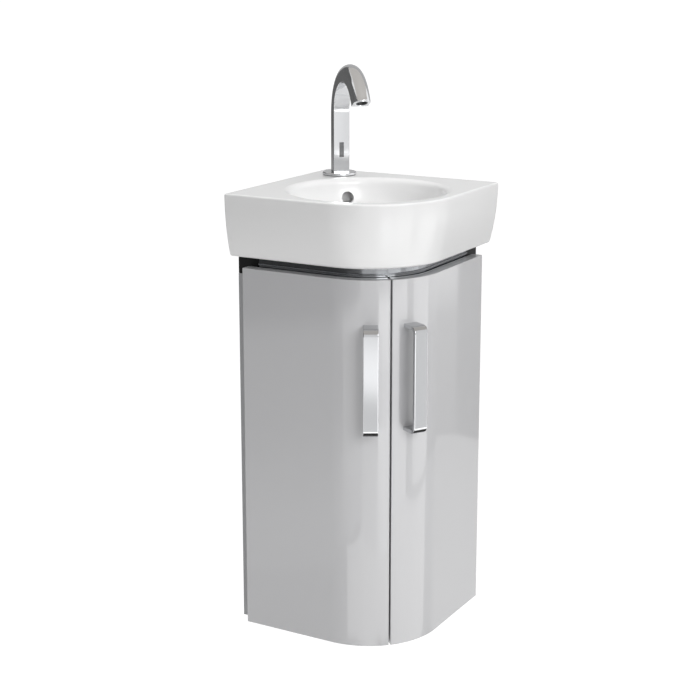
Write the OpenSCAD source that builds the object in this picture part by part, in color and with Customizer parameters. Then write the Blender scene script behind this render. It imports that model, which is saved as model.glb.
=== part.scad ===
// Corner vanity unit: a wall-hung corner cabinet with two curved doors,
// a ceramic hand basin with an arched sensor tap, and the waste below it.
// The two room walls meet on the Z axis: the right wall runs along +X and
// the left wall along -Y. Z = 0 is the lower edge of the doors.

/* [Basin] */
// Distance from each wall to the basin's front faces
basin_reach = 312.5; // [308:0.5:330]
// Height of the basin
basin_h = 98.5; // [95:0.5:104]
// Plan radius of the basin's front corner
basin_corner = 135; // [128:1:140]
// Radius of the slow curve that draws the fronts in towards the bottom
front_sweep_r = 360; // [320:5:600]
// Radius of the basin's lower outer edge
basin_foot_r = 5; // [3:0.5:6]
// Radius of the basin's upper outer edge
basin_edge_r = 3; // [1:0.5:4]
// Width of the deck between the bowl and the basin's front faces
front_land = 24; // [22:0.5:27]
// Width of the deck from the tap's middle to the bowl
tap_land = 47.4; // [45:0.2:50]
// Height of the bowl's floor above the basin's underside
floor_h = 20.5; // [20:0.5:24]
// Radius between the bowl's wall and its floor
bowl_bend = 70; // [55:1:72]
// Radius of the rolled rim
rim_roll = 10; // [6:0.5:11]
// Thickness of the bowl's shell
shell_t = 9; // [8:0.5:10]
// Thickness of the deck and of the walls at the back and front
deck_t = 12; // [11:0.5:14]
// Distance from the basin's front faces to the inner edge of its flat foot
foot_in = 63; // [58:1:68]
// Radius of the overflow hole
overflow_r = 10; // [7:0.5:11]
// Depth of the overflow hole's centre below the rim
overflow_drop = 31; // [26:1:34]
// Radius of the drain hole in the bowl's floor
drain_hole_r = 22.5; // [22.2:0.1:24]
// Radius of the two wall bolt holes in the back of the basin
basin_bolt_r = 6; // [4:0.5:8]
// Distance of each wall bolt hole from the room corner
basin_bolt_out = 105; // [96:1:115]
// Height of the wall bolt holes above the basin's underside
basin_bolt_z = 55; // [45:1:65]

/* [Cabinet] */
// Height of the side panels
carcass_h = 566; // [540:1:568]
// Thickness of the panels
panel_t = 16; // [15:0.5:18]
// Distance from the front of each side panel to the back of its hinge stile
stile_d = 50; // [46:1:60]
// Air between the bottle trap and the shelf under it
shelf_air = 31; // [20:1:60]
// How far the shelf stands back from the cabinet's front
shelf_back = 30; // [24:1:40]
// Radius of the shelf pins
shelf_pin_r = 2.5; // [2:0.1:3]
// Length of the shelf pins
shelf_pin_l = 18; // [14:1:20]
// Radius of the dowels
dowel_r = 4; // [3:0.5:5]
// Length of the dowels
dowel_l = 30; // [24:1:34]
// How far the dowels enter the side panels
dowel_in = 10; // [8:0.5:13]
// Distance of the rear dowels and shelf pins from the room corner
peg_rear = 60; // [50:1:70]
// Distance of the front dowels and shelf pins behind the hinge stiles
peg_front_in = 23.5; // [16:0.5:30]
// Height of the wall rails under the top frame
rail_h = 50; // [44:1:60]
// Distance of each wall rail's first fixing hole from the room corner
rail_hole_out = 70; // [60:1:80]
// Spacing of the two fixing holes in each wall rail
rail_hole_gap = 100; // [90:1:110]
// Radius of the fixing holes
rail_hole_r = 3.5; // [2.5:0.25:4]
// Width of the service cut-out in each side panel
cutout_w = 100; // [84:1:104]
// Height of the service cut-out
cutout_h = 100; // [84:1:110]
// Corner radius of the service cut-out
cutout_r = 8; // [4:1:12]
// Width of the top frame's strips along the side panels
frame_side = 24; // [22:1:25]
// Air between the waste's gasket and the front of the top frame's opening
opening_air = 10.5; // [6:0.5:14]
// Radius of the top frame's opening at the front
frame_opening_r = 70; // [60:1:74]

/* [Doors] */
// How far the basin stands out beyond the doors
basin_over = 17; // [15:1:24]
// Plan radius of the doors' outer corner
door_corner = 120; // [112:1:126]
// Thickness of the doors
door_t = 18; // [18:0.5:19]
// How far the doors stand above the side panels
door_over = 14; // [10:1:24]
// Gap between each wall and the edge of its door
door_inset = 20; // [19:0.5:20.5]
// Gap between the two doors
seam_gap = 2.8; // [2:0.1:4]
// Gap between the doors' inner faces and the cabinet's front edges
door_gap = 2.5; // [2.5:0.1:3.5]
// Radius of the doors' outer edges
door_edge_r = 1.5; // [0.5:0.1:2]
// Radius of the inner edge that swings past the cabinet
swing_edge_r = 4; // [4:0.1:5]
// Angle of the door buffers round the corner, from their door's flat face
buffer_angle = 40; // [34:1:41]
// Radius of the door buffers
buffer_r = 4; // [3:0.5:5]
// Air left between a buffer and the cabinet
buffer_air = 0.8; // [0.6:0.1:1.2]

/* [Handles] */
// Angle of each handle round the corner, from its door's flat face
handle_angle = 30; // [26:1:33]
// Distance of the handles' middle below the doors' upper edge
handle_drop = 150.5; // [145:0.5:180]
// Distance between the middles of a handle's two legs
handle_cc = 160; // [128:1:164]
// Width of the handle strap
handle_w = 23; // [20:0.5:25]
// Thickness of the handle strap
strap_t = 6; // [5.5:0.1:7]
// How far the handles stand out from the doors
handle_reach = 31; // [28:0.5:32]
// Radius of the strap's outer bends
handle_bend = 11; // [8:0.5:14]
// Radius of the handle screws
handle_screw_r = 1.9; // [1.5:0.1:2]
// How far the handle screws enter the legs
handle_screw_in = 12; // [8:0.5:16]

/* [Hinges] */
// Height of the lower hinges
hinge_z = 90; // [70:1:120]
// Distance of the upper hinges below the side panels' upper edge
hinge_drop = 86; // [76:1:96]
// Distance of the hinge pin from its wall
pivot_in = 28.5; // [28.5:0.1:29]
// Distance of the hinge pin behind the door's outer face
pivot_deep = 8; // [8:0.1:8.4]
// Radius of the hinge pin
pin_r = 1.5; // [1.2:0.1:1.6]
// Running clearance between the pin and the arm's eye
pin_clear = 0.05; // [0.02:0.01:0.09]
// Radius of the arm's eye
eye_r = 3; // [2.8:0.1:3]
// Thickness of the hinge arm
arm_t = 3; // [2.5:0.1:3]
// Height of the hinge arm
arm_w = 13; // [10:0.5:14]
// Air between the hinge arm and the open door
arm_air = 1.8; // [1.5:0.1:2.4]
// Length of the arm's leg
arm_leg = 50; // [46:1:56]
// Length of the hinge cup
cup_l = 30; // [28:0.5:34]
// Height of the hinge cup
cup_h = 22; // [20:0.5:26]
// Wall of the hinge cup
cup_t = 1; // [0.8:0.1:1.1]
// Distance from the hinge pin to the cup's outer end
cup_end = 4.5; // [4.4:0.1:4.5]
// Air between the arm's eye and the floor of the cup
cup_air = 0.4; // [0.3:0.1:0.6]
// Width of the cup's ears
ear_w = 20; // [16:1:22]
// Reach of the cup's ears above and below the hinge's middle
ear_z = 23; // [20:0.5:26]
// Distance of the ears' screws from the hinge's middle
ear_screw_z = 17; // [15:0.5:18]
// Thickness of the mounting plate on the stile
plate_t = 2; // [1.5:0.1:3]
// Width of the mounting plate
plate_w = 38; // [34:1:42]
// Height of the mounting plate
plate_h = 46; // [42:1:52]
// Distance of the plate's screws from the hinge's middle
plate_screw_z = 16; // [14:0.5:18]
// Radius of the hinge's wood screws
wood_screw_r = 1.8; // [1.5:0.1:2]
// Length of the hinge's wood screws
wood_screw_l = 12; // [10:0.5:13]
// Length of the screw that holds the arm on its plate
arm_screw_l = 8; // [6:0.5:10]
// Radius of the screws' heads
screw_head_r = 3.5; // [3:0.1:4]
// Height of the screws' heads
screw_head_h = 2; // [1.5:0.1:2.5]
// Width of the cross recess in the screws' heads
recess_w = 0.7; // [0.5:0.1:1]

/* [Trim] */
// Open height between the doors' upper edge and the basin
trim_gap = 17; // [15:0.5:20]
// Thickness of the trim band
band_t = 2; // [1.5:0.1:3]
// Height of the bead on the band above the doors
bead_z = 3; // [2:0.5:6]
// Height of the bead
bead_h = 2.5; // [2:0.5:4]
// How far the bead stands out from the band
bead_out = 2.5; // [1:0.5:4]
// Width of the band's foot on the top frame
band_foot = 17; // [12:1:24]
// Length of the end blocks along the front
block_w = 38; // [34:1:44]
// Depth of the end blocks
block_d = 30; // [26:1:36]
// Wall of the hollow end blocks
block_wall = 3; // [2:0.5:5]

/* [Tap] */
// Distance of the tap from the room corner, along the diagonal
tap_out = 71.8; // [70:0.1:74]
// Width of the tap's flat front
tap_w = 27; // [24:0.5:30]
// Depth of the tap's section from its flat front to its round back
tap_d = 28; // [27:0.5:30]
// Radius of the arch along the middle of the section
arch_r = 70; // [67:0.5:73]
// Height of the column up to the arch
arch_z = 94; // [84:1:105]
// Angle that the arch turns through
arch_turn = 155.5; // [150:0.5:165]
// Radius of the waterway
waterway_r = 8; // [6:0.5:9]
// Radius of the base ring
ring_r = 27.5; // [25:0.5:28]
// Height of the base ring
ring_h = 4; // [3:0.5:6]
// Radius of the base ring's upper edge
ring_edge = 1.5; // [0.5:0.1:2]
// Thickness of the gasket under the base ring
gasket_t = 1; // [0.5:0.1:2]
// How far the gasket stays inside the base ring
gasket_in = 1; // [0.5:0.1:2]
// Width of the sensor window
window_w = 7.5; // [6:0.5:12]
// Height of the sensor window
window_h = 24; // [18:0.5:30]
// Height of the sensor window's lower edge above the base ring
window_z = 25; // [20:0.5:40]
// Thickness of the sensor window
window_t = 1.5; // [1:0.1:2]
// Radius of the aerator's housing
aerator_r = 10.5; // [9.5:0.1:11]
// Depth of the aerator's housing
aerator_h = 9; // [7:0.5:12]
// Wall of the aerator's housing
aerator_wall = 1.5; // [1:0.1:2]
// Number of holes in the aerator's jet plate
jet_holes = 8; // [6:1:10]
// Radius of the holes in the jet plate
jet_hole_r = 1.1; // [0.8:0.1:1.3]
// Radius of the circle that the jet plate's holes lie on
jet_ring_r = 5.4; // [4.8:0.1:6]
// How far the aerator's jet plate is set in
jet_in = 2; // [1:0.5:3]
// Radius of the hole in the deck for the tap
tap_hole_r = 17.5; // [16.5:0.1:18]
// Radius of the threaded shank
shank_r = 14; // [12:0.5:15]
// Length of the shank below the deck
shank_l = 36; // [30:1:44]
// Radius of the shank's washer
washer_r = 22; // [21:0.5:23]
// Thickness of the shank's washer
washer_t = 2; // [1.5:0.1:3]
// Half the width across corners of the shank's hexagon nut
nut_r = 20; // [18:0.5:22]
// Height of the shank's hexagon nut
nut_h = 10; // [8:0.5:12]
// Radius of the water inlet's nipple
nipple_r = 8.3; // [7:0.1:9]
// Length of the water inlet's nipple with its collar
nipple_l = 16; // [14:0.5:20]

/* [Waste] */
// Radius of the waste's flange in the bowl
flange_r = 31.5; // [28:0.5:33]
// Thickness of the waste's flange
flange_t = 2.5; // [2:0.1:3]
// Radius of the flange's upper edge
flange_edge = 2; // [1:0.1:2]
// Outer radius of the waste's throat
throat_r = 21.8; // [21:0.1:22]
// Wall of the waste's throat
throat_wall = 2.8; // [2:0.1:3]
// How far the throat reaches below the bowl's floor
throat_l = 23; // [22.6:0.1:24]
// Thickness of the grid in the throat
grid_t = 2; // [1.5:0.1:3]
// Number of the grid's slots
grid_slots = 6; // [4:1:8]
// Width of the grid's slots
grid_slot_w = 3; // [2:0.1:4]
// Length of the grid's slots
grid_slot_l = 11.4; // [8:0.2:13]
// Distance of the grid's slots from its middle
grid_slot_in = 4.8; // [4.5:0.1:5.5]
// Outer radius of the waste's tail pipe
tail_r = 20; // [19:0.1:20.5]
// Wall of the pipes and of the trap
pipe_wall = 2; // [1.5:0.1:2.5]
// Length of the tail pipe
tail_l = 55; // [50:1:60]
// Outer radius of the gasket under the basin
seal_r = 32; // [30:0.5:34]
// Height of the gasket under the basin
seal_h = 4; // [3:0.5:6]
// How much wider the basin's boss is than the gasket
boss_over = 3; // [2:0.5:5]
// Radius of the ring nut under the gasket
ring_nut_r = 30; // [28:0.5:32]
// Height of the ring nut
ring_nut_h = 10; // [8:0.5:14]
// Outer radius of the waste pipe
pipe_r = 16; // [15:0.1:17]
// Radius of the pipe nuts
pipe_nut_r = 25; // [23:0.5:27]
// Height of the pipe nuts
pipe_nut_h = 16; // [12:0.5:20]
// Number of grip grooves round the ring nut
ring_grips = 8; // [6:1:10]
// Number of grip grooves round the pipe nuts
pipe_grips = 12; // [8:1:16]
// Radius of the grip grooves
grip_r = 2; // [1.5:0.1:2.5]
// Depth of the grip grooves
grip_d = 1; // [0.5:0.1:1.4]
// Radius of the bottle of the trap
bottle_r = 34; // [30:0.5:38]
// Distance of the trap's outlet below the basin
outlet_drop = 182; // [170:1:188]
// Height of the bottle's head
head_h = 68; // [60:1:72]
// Height of the neck on the bottle's head
neck_h = 10.5; // [8:0.5:14]
// Height of the bottle's cup
cup_bottle_h = 72; // [60:1:76]
// Distance of the dip pipe's end above the floor of the bottle
dip_air = 30; // [24:1:40]
// Length of the outlet branch beyond the bottle
branch_l = 14; // [12:1:24]
// How far the outlet pipe stands through the wall's face
pipe_out = 25; // [20:1:40]
// Depth of the pipe's groove at the wall's face
groove_d = 0.5; // [0.3:0.1:0.8]
// Width of the groove
groove_w = 1.5; // [1:0.1:2.5]
// Radius of the rosette at the wall
rosette_r = 33; // [30:0.5:36]
// Depth of the rosette
rosette_d = 9; // [6:0.5:12]
// Thickness of the rosette's skin
rosette_t = 1.5; // [1:0.1:2]

/* [Hidden] */
$fn = 72;

// Colours
door_grey = [0.80, 0.80, 0.81];
board_grey = [0.72, 0.72, 0.73];
glaze_white = [0.95, 0.95, 0.94];
polished = [0.78, 0.79, 0.80];
satin = [0.62, 0.63, 0.64];
moulded_black = [0.10, 0.10, 0.10];
pale_wood = [0.82, 0.70, 0.52];
pipe_white = [0.90, 0.90, 0.88];

// A little extra length that lets a cut run right through its face
over = 1;
// Air round screws, pins and dowels in their holes
hole_air = 0.05;

// Heights, from the side panels upwards
door_h = carcass_h + door_over;
basin_z = door_h + trim_gap;
basin_top = basin_z + basin_h;
frame_z = carcass_h - panel_t;
band_z = basin_z - carcass_h;
handle_z = door_h - handle_drop;
hinge_rows = [hinge_z, carcass_h - hinge_drop];

// Plan: the doors, the cabinet front and the shelf share one corner centre
door_reach = basin_reach - basin_over;
door_back = door_reach - door_t;
front_reach = door_back - door_gap;
corner_at = door_reach - door_corner;
front_corner = front_reach - corner_at;
inner_in = 2 * panel_t;
peg_rows = [peg_rear, front_reach - stile_d - peg_front_in];
rail_rows = [rail_hole_out, rail_hole_out + rail_hole_gap];

// Hinge: the arm leaves the pin, clears the open door's back and runs back to its plate
pivot_y = pivot_deep - door_reach;
arm_out = door_t - pivot_deep + arm_air;
arm_x = pivot_in + arm_out;
cup_x = pivot_in - cup_end;
cup_d = door_t - pivot_deep + eye_r + cup_air + cup_t;
plate_y = plate_w - front_reach + arm_t;
plate_mid = plate_y - plate_w / 2;
ear_x = cup_x + cup_l / 2;

// Bowl and tap: the bowl fills what the front deck and the tap leave on the diagonal
bowl_span = (basin_reach - front_land) * sqrt(2) - tap_out - tap_land;
bowl_r = bowl_span / (1 + sqrt(2));
bowl_centre = basin_reach - front_land - bowl_r;
bowl_out = bowl_centre * sqrt(2);
bend_z = floor_h + bowl_bend;
rim_z = basin_h - rim_roll;
rim_out = bowl_r + rim_roll;
bend_in = rim_out - sqrt(pow(bowl_bend + rim_roll, 2) - pow(rim_z - bend_z, 2));
roll_z = bend_z + (rim_z - bend_z) * bowl_bend / (bowl_bend + rim_roll);
boss_r = seal_r + boss_over;
duct_out = bowl_out - bowl_r - 2 * shell_t;
tap_z = basin_top + gasket_t + ring_h;
flat_d = tap_d - tap_w / 2;
front_u = arch_r - tap_d / 2;

// Waste stack, from the bowl's floor downwards
floor_z = basin_z + floor_h;
throat_z = floor_z - throat_l;
seal_z = basin_z - seal_h;
ring_nut_z = seal_z - ring_nut_h;
tail_z = throat_z - tail_l;
pipe_nut_z = tail_z - pipe_nut_h / 2;
outlet_z = basin_z - outlet_drop;
head_top = outlet_z + head_h / 2;
head_z = outlet_z - head_h / 2;
bottle_z = head_z - cup_bottle_h;
shelf_z = bottle_z - shelf_air - panel_t;
branch_end = bowl_centre - bottle_r - branch_l;

// ---- Shared shapes ----

// The other half: the unit is symmetric about the diagonal between the walls
module mirrored() {
    mirror([1, 1, 0]) children();
}

// Local X along the diagonal, out of the room corner
module on_diagonal(out) {
    rotate([0, 0, -45]) translate([out, 0, 0]) children();
}

// A section drawn as (distance from the wall, height), run along the left front
module along_left(from, to) {
    translate([to, 0, 0]) rotate([90, 0, -90]) linear_extrude(to - from) children();
}

// The same section turned round the front corner, from angle a to angle b
module round_corner(at, a, b) {
    translate([at, -at, 0])
        rotate_extrude(angle = b - a, start = 270 + a)
            translate([-at, 0]) children();
}

// Both straight fronts and the corner between them
module round_front(start, at) {
    along_left(start, at) children();
    round_corner(at, 0, 90) children();
    mirrored() along_left(start, at) children();
}

// Plan of a square with its front corner rounded, walls on the axes
module corner_plan(reach, corner) {
    at = reach - corner;
    translate([0, -at]) square([reach, at]);
    translate([0, -reach]) square([at, reach]);
    translate([at, -at]) circle(r = corner);
}

// What a round edge takes off a square corner that points along +X +Y
module corner_cut(r) {
    translate([-r, -r]) difference() {
        square(r + over);
        circle(r = r);
    }
}

// Copies evenly round the Z axis
module around(count) {
    for (i = [0 : count - 1]) {
        rotate([0, 0, i * 360 / count]) children();
    }
}

// Upright grooves round a nut, to grip it
module grip_grooves(count, r, h) {
    around(count) translate([r + grip_r - grip_d, 0, -over]) cylinder(r = grip_r, h = h + 2 * over);
}

// Plain ring standing on Z = 0
module tube(outer, inner, h) {
    difference() {
        cylinder(r = outer, h = h);
        translate([0, 0, -over]) cylinder(r = inner, h = h + 2 * over);
    }
}

// Flat bar with round corners in its own plane
module rounded_rect(w, h, r) {
    for (x = [r - w / 2, w / 2 - r]) {
        for (y = [r - h / 2, h / 2 - r]) {
            translate([x, y]) circle(r = r);
        }
    }
    square([w - 2 * r, h], center = true);
    square([w, h - 2 * r], center = true);
}

// ---- Cabinet ----

// Service cut-out, seen from inside and centred where the outlet pipe runs
module service_cutout() {
    translate([-over, -bowl_centre, outlet_z])
        rotate([90, 0, 90]) linear_extrude(panel_t + 2 * over)
            rounded_rect(cutout_w, cutout_h, cutout_r);
}

// Wall fixing holes, through a rail and the panel behind it
module rail_holes() {
    for (y = rail_rows) {
        translate([-over, -y, frame_z - rail_h / 2]) rotate([0, 90, 0])
            cylinder(r = rail_hole_r, h = inner_in + 2 * over);
    }
}

// Dowels between a side panel and the boards that meet it
module dowel_set(air) {
    for (y = peg_rows) {
        for (z = [panel_t / 2, carcass_h - panel_t / 2]) {
            translate([panel_t - dowel_in - air, -y, z]) rotate([0, 90, 0])
                cylinder(r = dowel_r + air, h = dowel_l + 2 * air);
        }
    }
}

// Shelf pins, half in the panel and half under the shelf
module pin_set(air) {
    for (y = peg_rows) {
        translate([panel_t - shelf_pin_l / 2 - air, -y, shelf_z - shelf_pin_r])
            rotate([0, 90, 0])
                cylinder(r = shelf_pin_r + air, h = shelf_pin_l + air);
    }
}

// Side panel against the left wall, starting at a distance from the room corner
module side_panel(start) {
    difference() {
        translate([0, -front_reach, 0]) cube([panel_t, front_reach - start, carcass_h]);
        service_cutout();
        rail_holes();
        dowel_set(hole_air);
        pin_set(hole_air);
    }
}

module side_panel_left() {
    color(board_grey) side_panel(0);
}

module side_panel_right() {
    color(board_grey) mirrored() side_panel(panel_t);
}

// Stile behind the front edge of the panel: it carries the hinge plates
module hinge_stile() {
    difference() {
        translate([panel_t, -front_reach, panel_t])
            cube([panel_t, stile_d, frame_z - panel_t]);
        for (z = hinge_rows) {
            plate_screw_shanks(z, hole_air);
        }
    }
}

module hinge_stile_left() {
    color(board_grey) hinge_stile();
}

module hinge_stile_right() {
    color(board_grey) mirrored() hinge_stile();
}

// Rail that takes the wall screws, under the top frame
module wall_rail(start) {
    difference() {
        translate([panel_t, stile_d - front_reach, frame_z - rail_h])
            cube([panel_t, front_reach - stile_d - start, rail_h]);
        rail_holes();
    }
}

module wall_rail_left() {
    color(board_grey) wall_rail(panel_t);
}

module wall_rail_right() {
    color(board_grey) mirrored() wall_rail(inner_in);
}

// Plan of a board between the side panels, with its front edge behind the doors
module board_plan(back) {
    difference() {
        corner_plan(front_reach - back, front_corner - back);
        translate([-over, -basin_reach]) square([panel_t + over, basin_reach + over]);
        translate([-over, -panel_t]) square([basin_reach, panel_t + over]);
    }
}

module bottom_panel() {
    color(board_grey) difference() {
        linear_extrude(panel_t) board_plan(0);
        dowel_set(hole_air);
        mirrored() dowel_set(hole_air);
    }
}

module stile_notch() {
    translate([0, -basin_reach]) square([inner_in + over, basin_reach + stile_d - front_reach + over]);
}

module shelf() {
    color(board_grey) translate([0, 0, shelf_z]) linear_extrude(panel_t) difference() {
        board_plan(shelf_back);
        stile_notch();
        mirrored() stile_notch();
    }
}

module shelf_pins() {
    color(polished) {
        pin_set(0);
        mirrored() pin_set(0);
    }
}

module dowels() {
    color(pale_wood) {
        dowel_set(0);
        mirrored() dowel_set(0);
    }
}

// Open frame that stiffens the top and carries the trim band
module top_frame() {
    inner = bowl_centre + seal_r + opening_air;
    near = panel_t + frame_side;
    color(board_grey) difference() {
        translate([0, 0, frame_z]) linear_extrude(panel_t) difference() {
            board_plan(0);
            difference() {
                corner_plan(inner, frame_opening_r);
                translate([-over, -basin_reach]) square([near + over, basin_reach + over]);
                translate([-over, -near]) square([basin_reach, near + over]);
            }
        }
        dowel_set(hole_air);
        mirrored() dowel_set(hole_air);
    }
}

// Polished strip between the top frame and the basin, with a bead above the doors
module trim_band() {
    color(polished) translate([0, 0, carcass_h]) round_front(block_w, corner_at) {
        translate([front_reach - band_t, 0]) square([band_t, band_z]);
        translate([front_reach - band_foot, 0]) square([band_foot, band_t]);
        translate([front_reach - band_t, door_h + bead_z - carcass_h])
            square([band_t + bead_out - bead_h / 2, bead_h]);
        translate([front_reach + bead_out - bead_h / 2, door_h + bead_z + bead_h / 2 - carcass_h])
            circle(r = bead_h / 2);
    }
}

// Moulded block at the end of the band, hollow from behind
module end_block() {
    color(moulded_black) translate([0, -front_reach, carcass_h]) difference() {
        cube([block_w, block_d, band_z]);
        translate([block_wall, block_wall, block_wall])
            cube([block_w - 2 * block_wall, block_d, band_z - 2 * block_wall]);
    }
}

module end_block_left() {
    end_block();
}

module end_block_right() {
    mirrored() end_block();
}

// ---- Hinges ----

// Plate screws at one hinge, running from the plate into the stile
module plate_screw_shanks(z, air) {
    run_out = air > 0 ? over : 0;
    for (dz = [-plate_screw_z, plate_screw_z]) {
        translate([inner_in + plate_t - wood_screw_l - air, plate_mid, z + dz])
            rotate([0, 90, 0])
                cylinder(r = wood_screw_r + air, h = wood_screw_l + air + run_out);
    }
}

// Base plate on the stile, with the raised block that the arm is screwed to
module hinge_plate(z) {
    difference() {
        union() {
            translate([inner_in, plate_mid, z]) rotate([90, 0, 90])
                linear_extrude(plate_t) rounded_rect(plate_w, plate_h, arm_t);
            translate([inner_in, plate_y - plate_w, z - arm_w / 2])
                cube([arm_x - inner_in, plate_w, arm_w]);
        }
        plate_screw_shanks(z, hole_air);
        arm_screw(z, hole_air);
    }
}

// Screw that holds the arm on the raised block
module arm_screw(z, air) {
    run_out = air > 0 ? over : 0;
    translate([arm_x + arm_t - arm_screw_l - air, plate_mid, z]) rotate([0, 90, 0])
        cylinder(r = wood_screw_r + air, h = arm_screw_l + air + run_out);
}

// Hooked arm: an eye on the pin, a link out of the cup and a leg back to the plate
module hinge_arm(z) {
    difference() {
        translate([pivot_in, pivot_y, z - arm_w / 2]) linear_extrude(arm_w) difference() {
            union() {
                circle(r = eye_r);
                translate([0, -arm_t / 2]) square([arm_out + arm_t, arm_t]);
                translate([arm_out, -arm_t / 2]) square([arm_t, arm_leg]);
            }
            circle(r = pin_r + pin_clear);
            translate([arm_out + arm_t, -arm_t / 2]) mirror([0, 1]) corner_cut(arm_t / 2);
        }
        arm_screw(z, hole_air);
    }
}

// A screw's head standing on a face that points along +X
module screw_head() {
    rotate([0, 90, 0]) difference() {
        cylinder(r = screw_head_r, h = screw_head_h);
        translate([0, 0, screw_head_h / 2]) cross_recess();
    }
}

module cross_recess() {
    around(4) translate([0, -recess_w / 2, 0]) cube([screw_head_r / 2, recess_w, screw_head_h]);
}

module hinge_screw_set() {
    color(satin) for (z = hinge_rows) {
        plate_screw_shanks(z, 0);
        arm_screw(z, 0);
        for (dz = [-plate_screw_z, plate_screw_z]) {
            translate([inner_in + plate_t, plate_mid, z + dz]) screw_head();
        }
        translate([arm_x + arm_t, plate_mid, z]) screw_head();
    }
}

module hinge_plate_set() {
    color(polished) for (z = hinge_rows) {
        hinge_plate(z);
    }
}

module hinge_arm_set() {
    color(polished) for (z = hinge_rows) {
        hinge_arm(z);
    }
}

module hinge_plates_left() {
    hinge_plate_set();
}

module hinge_plates_right() {
    mirrored() hinge_plate_set();
}

module hinge_arms_left() {
    hinge_arm_set();
}

module hinge_arms_right() {
    mirrored() hinge_arm_set();
}

module hinge_screws_left() {
    hinge_screw_set();
}

module hinge_screws_right() {
    mirrored() hinge_screw_set();
}

// Outside of the cup and of its flush ears: the same shape cuts the door's pocket
module cup_outside(z) {
    translate([cup_x, -door_back - cup_d, z - cup_h / 2]) cube([cup_l, cup_d, cup_h]);
    translate([ear_x - ear_w / 2, -door_back - cup_t, z - ear_z])
        cube([ear_w, cup_t, 2 * ear_z]);
}

// Countersunk screws through the ears into the door
module ear_screws(z, air) {
    for (dz = [-ear_screw_z, ear_screw_z]) {
        translate([ear_x, -door_back, z + dz]) rotate([90, 0, 0]) {
            cylinder(r = wood_screw_r + air, h = wood_screw_l + air);
            cylinder(r1 = screw_head_r + air, r2 = wood_screw_r + air, h = screw_head_h);
        }
    }
}

module hinge_cup(z) {
    difference() {
        cup_outside(z);
        translate([cup_x + cup_t, -door_back - cup_d + cup_t, z - cup_h / 2 + cup_t])
            cube([cup_l - 2 * cup_t, cup_d, cup_h - 2 * cup_t]);
        ear_screws(z, hole_air);
        hinge_pin(z);
    }
}

module hinge_pin(z) {
    translate([pivot_in, pivot_y, z - cup_h / 2]) cylinder(r = pin_r, h = cup_h);
}

module hinge_cup_set() {
    color(polished) for (z = hinge_rows) {
        hinge_cup(z);
    }
}

module hinge_pin_set() {
    color(satin) for (z = hinge_rows) {
        hinge_pin(z);
    }
}

module cup_screw_set() {
    color(satin) for (z = hinge_rows) {
        difference() {
            ear_screws(z, 0);
            for (dz = [-ear_screw_z, ear_screw_z]) {
                translate([ear_x, -door_back - screw_head_h / 2, z + dz])
                    rotate([-90, 0, 0]) cross_recess();
            }
        }
    }
}

module hinge_cups_left() {
    hinge_cup_set();
}

module hinge_cups_right() {
    mirrored() hinge_cup_set();
}

module hinge_pins_left() {
    hinge_pin_set();
}

module hinge_pins_right() {
    mirrored() hinge_pin_set();
}

module cup_screws_left() {
    cup_screw_set();
}

module cup_screws_right() {
    mirrored() cup_screw_set();
}

// ---- Doors and handles ----

// Upright section of a door, its two outer edges rounded
module door_section() {
    difference() {
        translate([door_back, 0]) square([door_t, door_h]);
        translate([door_reach, door_h]) corner_cut(door_edge_r);
        translate([door_reach, 0]) mirror([0, 1]) corner_cut(door_edge_r);
    }
}

// Round edges along the door's hinge side
module hinge_edge_cuts() {
    translate([door_inset, -door_reach]) rotate(180) corner_cut(door_edge_r);
    translate([door_inset, -door_back]) mirror([1, 0]) corner_cut(swing_edge_r);
}

// Local X points out of the corner's round face at the handle
module at_handle() {
    translate([corner_at, -corner_at, 0]) rotate([0, 0, handle_angle - 90]) children();
}

// Screws through the door into the handle's legs
module handle_screw_shanks(air) {
    start = door_corner - door_t - screw_head_h / 2;
    for (z = [handle_z - handle_cc / 2, handle_z + handle_cc / 2]) {
        at_handle() translate([start, 0, z]) rotate([0, 90, 0])
            cylinder(r = handle_screw_r + air, h = door_corner - start + handle_screw_in + air);
    }
}

module door_leaf() {
    color(door_grey) difference() {
        union() {
            along_left(door_inset, corner_at) door_section();
            round_corner(corner_at, 0, 45) door_section();
        }
        rotate([0, 0, -45]) translate([0, -seam_gap / 2, -over])
            cube([2 * door_reach, door_reach, door_h + 2 * over]);
        translate([0, 0, -over]) linear_extrude(door_h + 2 * over) hinge_edge_cuts();
        for (z = hinge_rows) {
            cup_outside(z);
            ear_screws(z, hole_air);
        }
        handle_screw_shanks(hole_air);
    }
}

// Flat strap bent to a U, its legs cut to the door's round face
module strap_handle() {
    leg_h = handle_cc + strap_t;
    depth = handle_reach + strap_t;
    color(polished) difference() {
        at_handle() translate([door_corner + handle_reach - depth, handle_w / 2, handle_z - leg_h / 2])
            rotate([90, 0, 0]) linear_extrude(handle_w) difference() {
                square([depth, leg_h]);
                translate([depth, leg_h]) corner_cut(handle_bend);
                translate([depth, 0]) mirror([0, 1]) corner_cut(handle_bend);
                translate([-over, strap_t]) strap_inside(depth - strap_t + over, leg_h - 2 * strap_t);
            }
        translate([corner_at, -corner_at, 0]) cylinder(r = door_corner, h = door_h);
        handle_screw_shanks(hole_air);
    }
}

// The finger gap inside the strap, with the inner bends
module strap_inside(w, h) {
    r = handle_bend - strap_t;
    square([w - r, h]);
    translate([0, r]) square([w, h - 2 * r]);
    for (z = [r, h - r]) {
        translate([w - r, z]) circle(r = r);
    }
}

module handle_screw_set() {
    seat = sqrt(pow(door_corner - door_t, 2) - pow(screw_head_r, 2));
    color(satin) {
        handle_screw_shanks(0);
        for (z = [handle_z - handle_cc / 2, handle_z + handle_cc / 2]) {
            at_handle() translate([seat, 0, z]) mirror([1, 0, 0]) screw_head();
        }
    }
}

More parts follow.
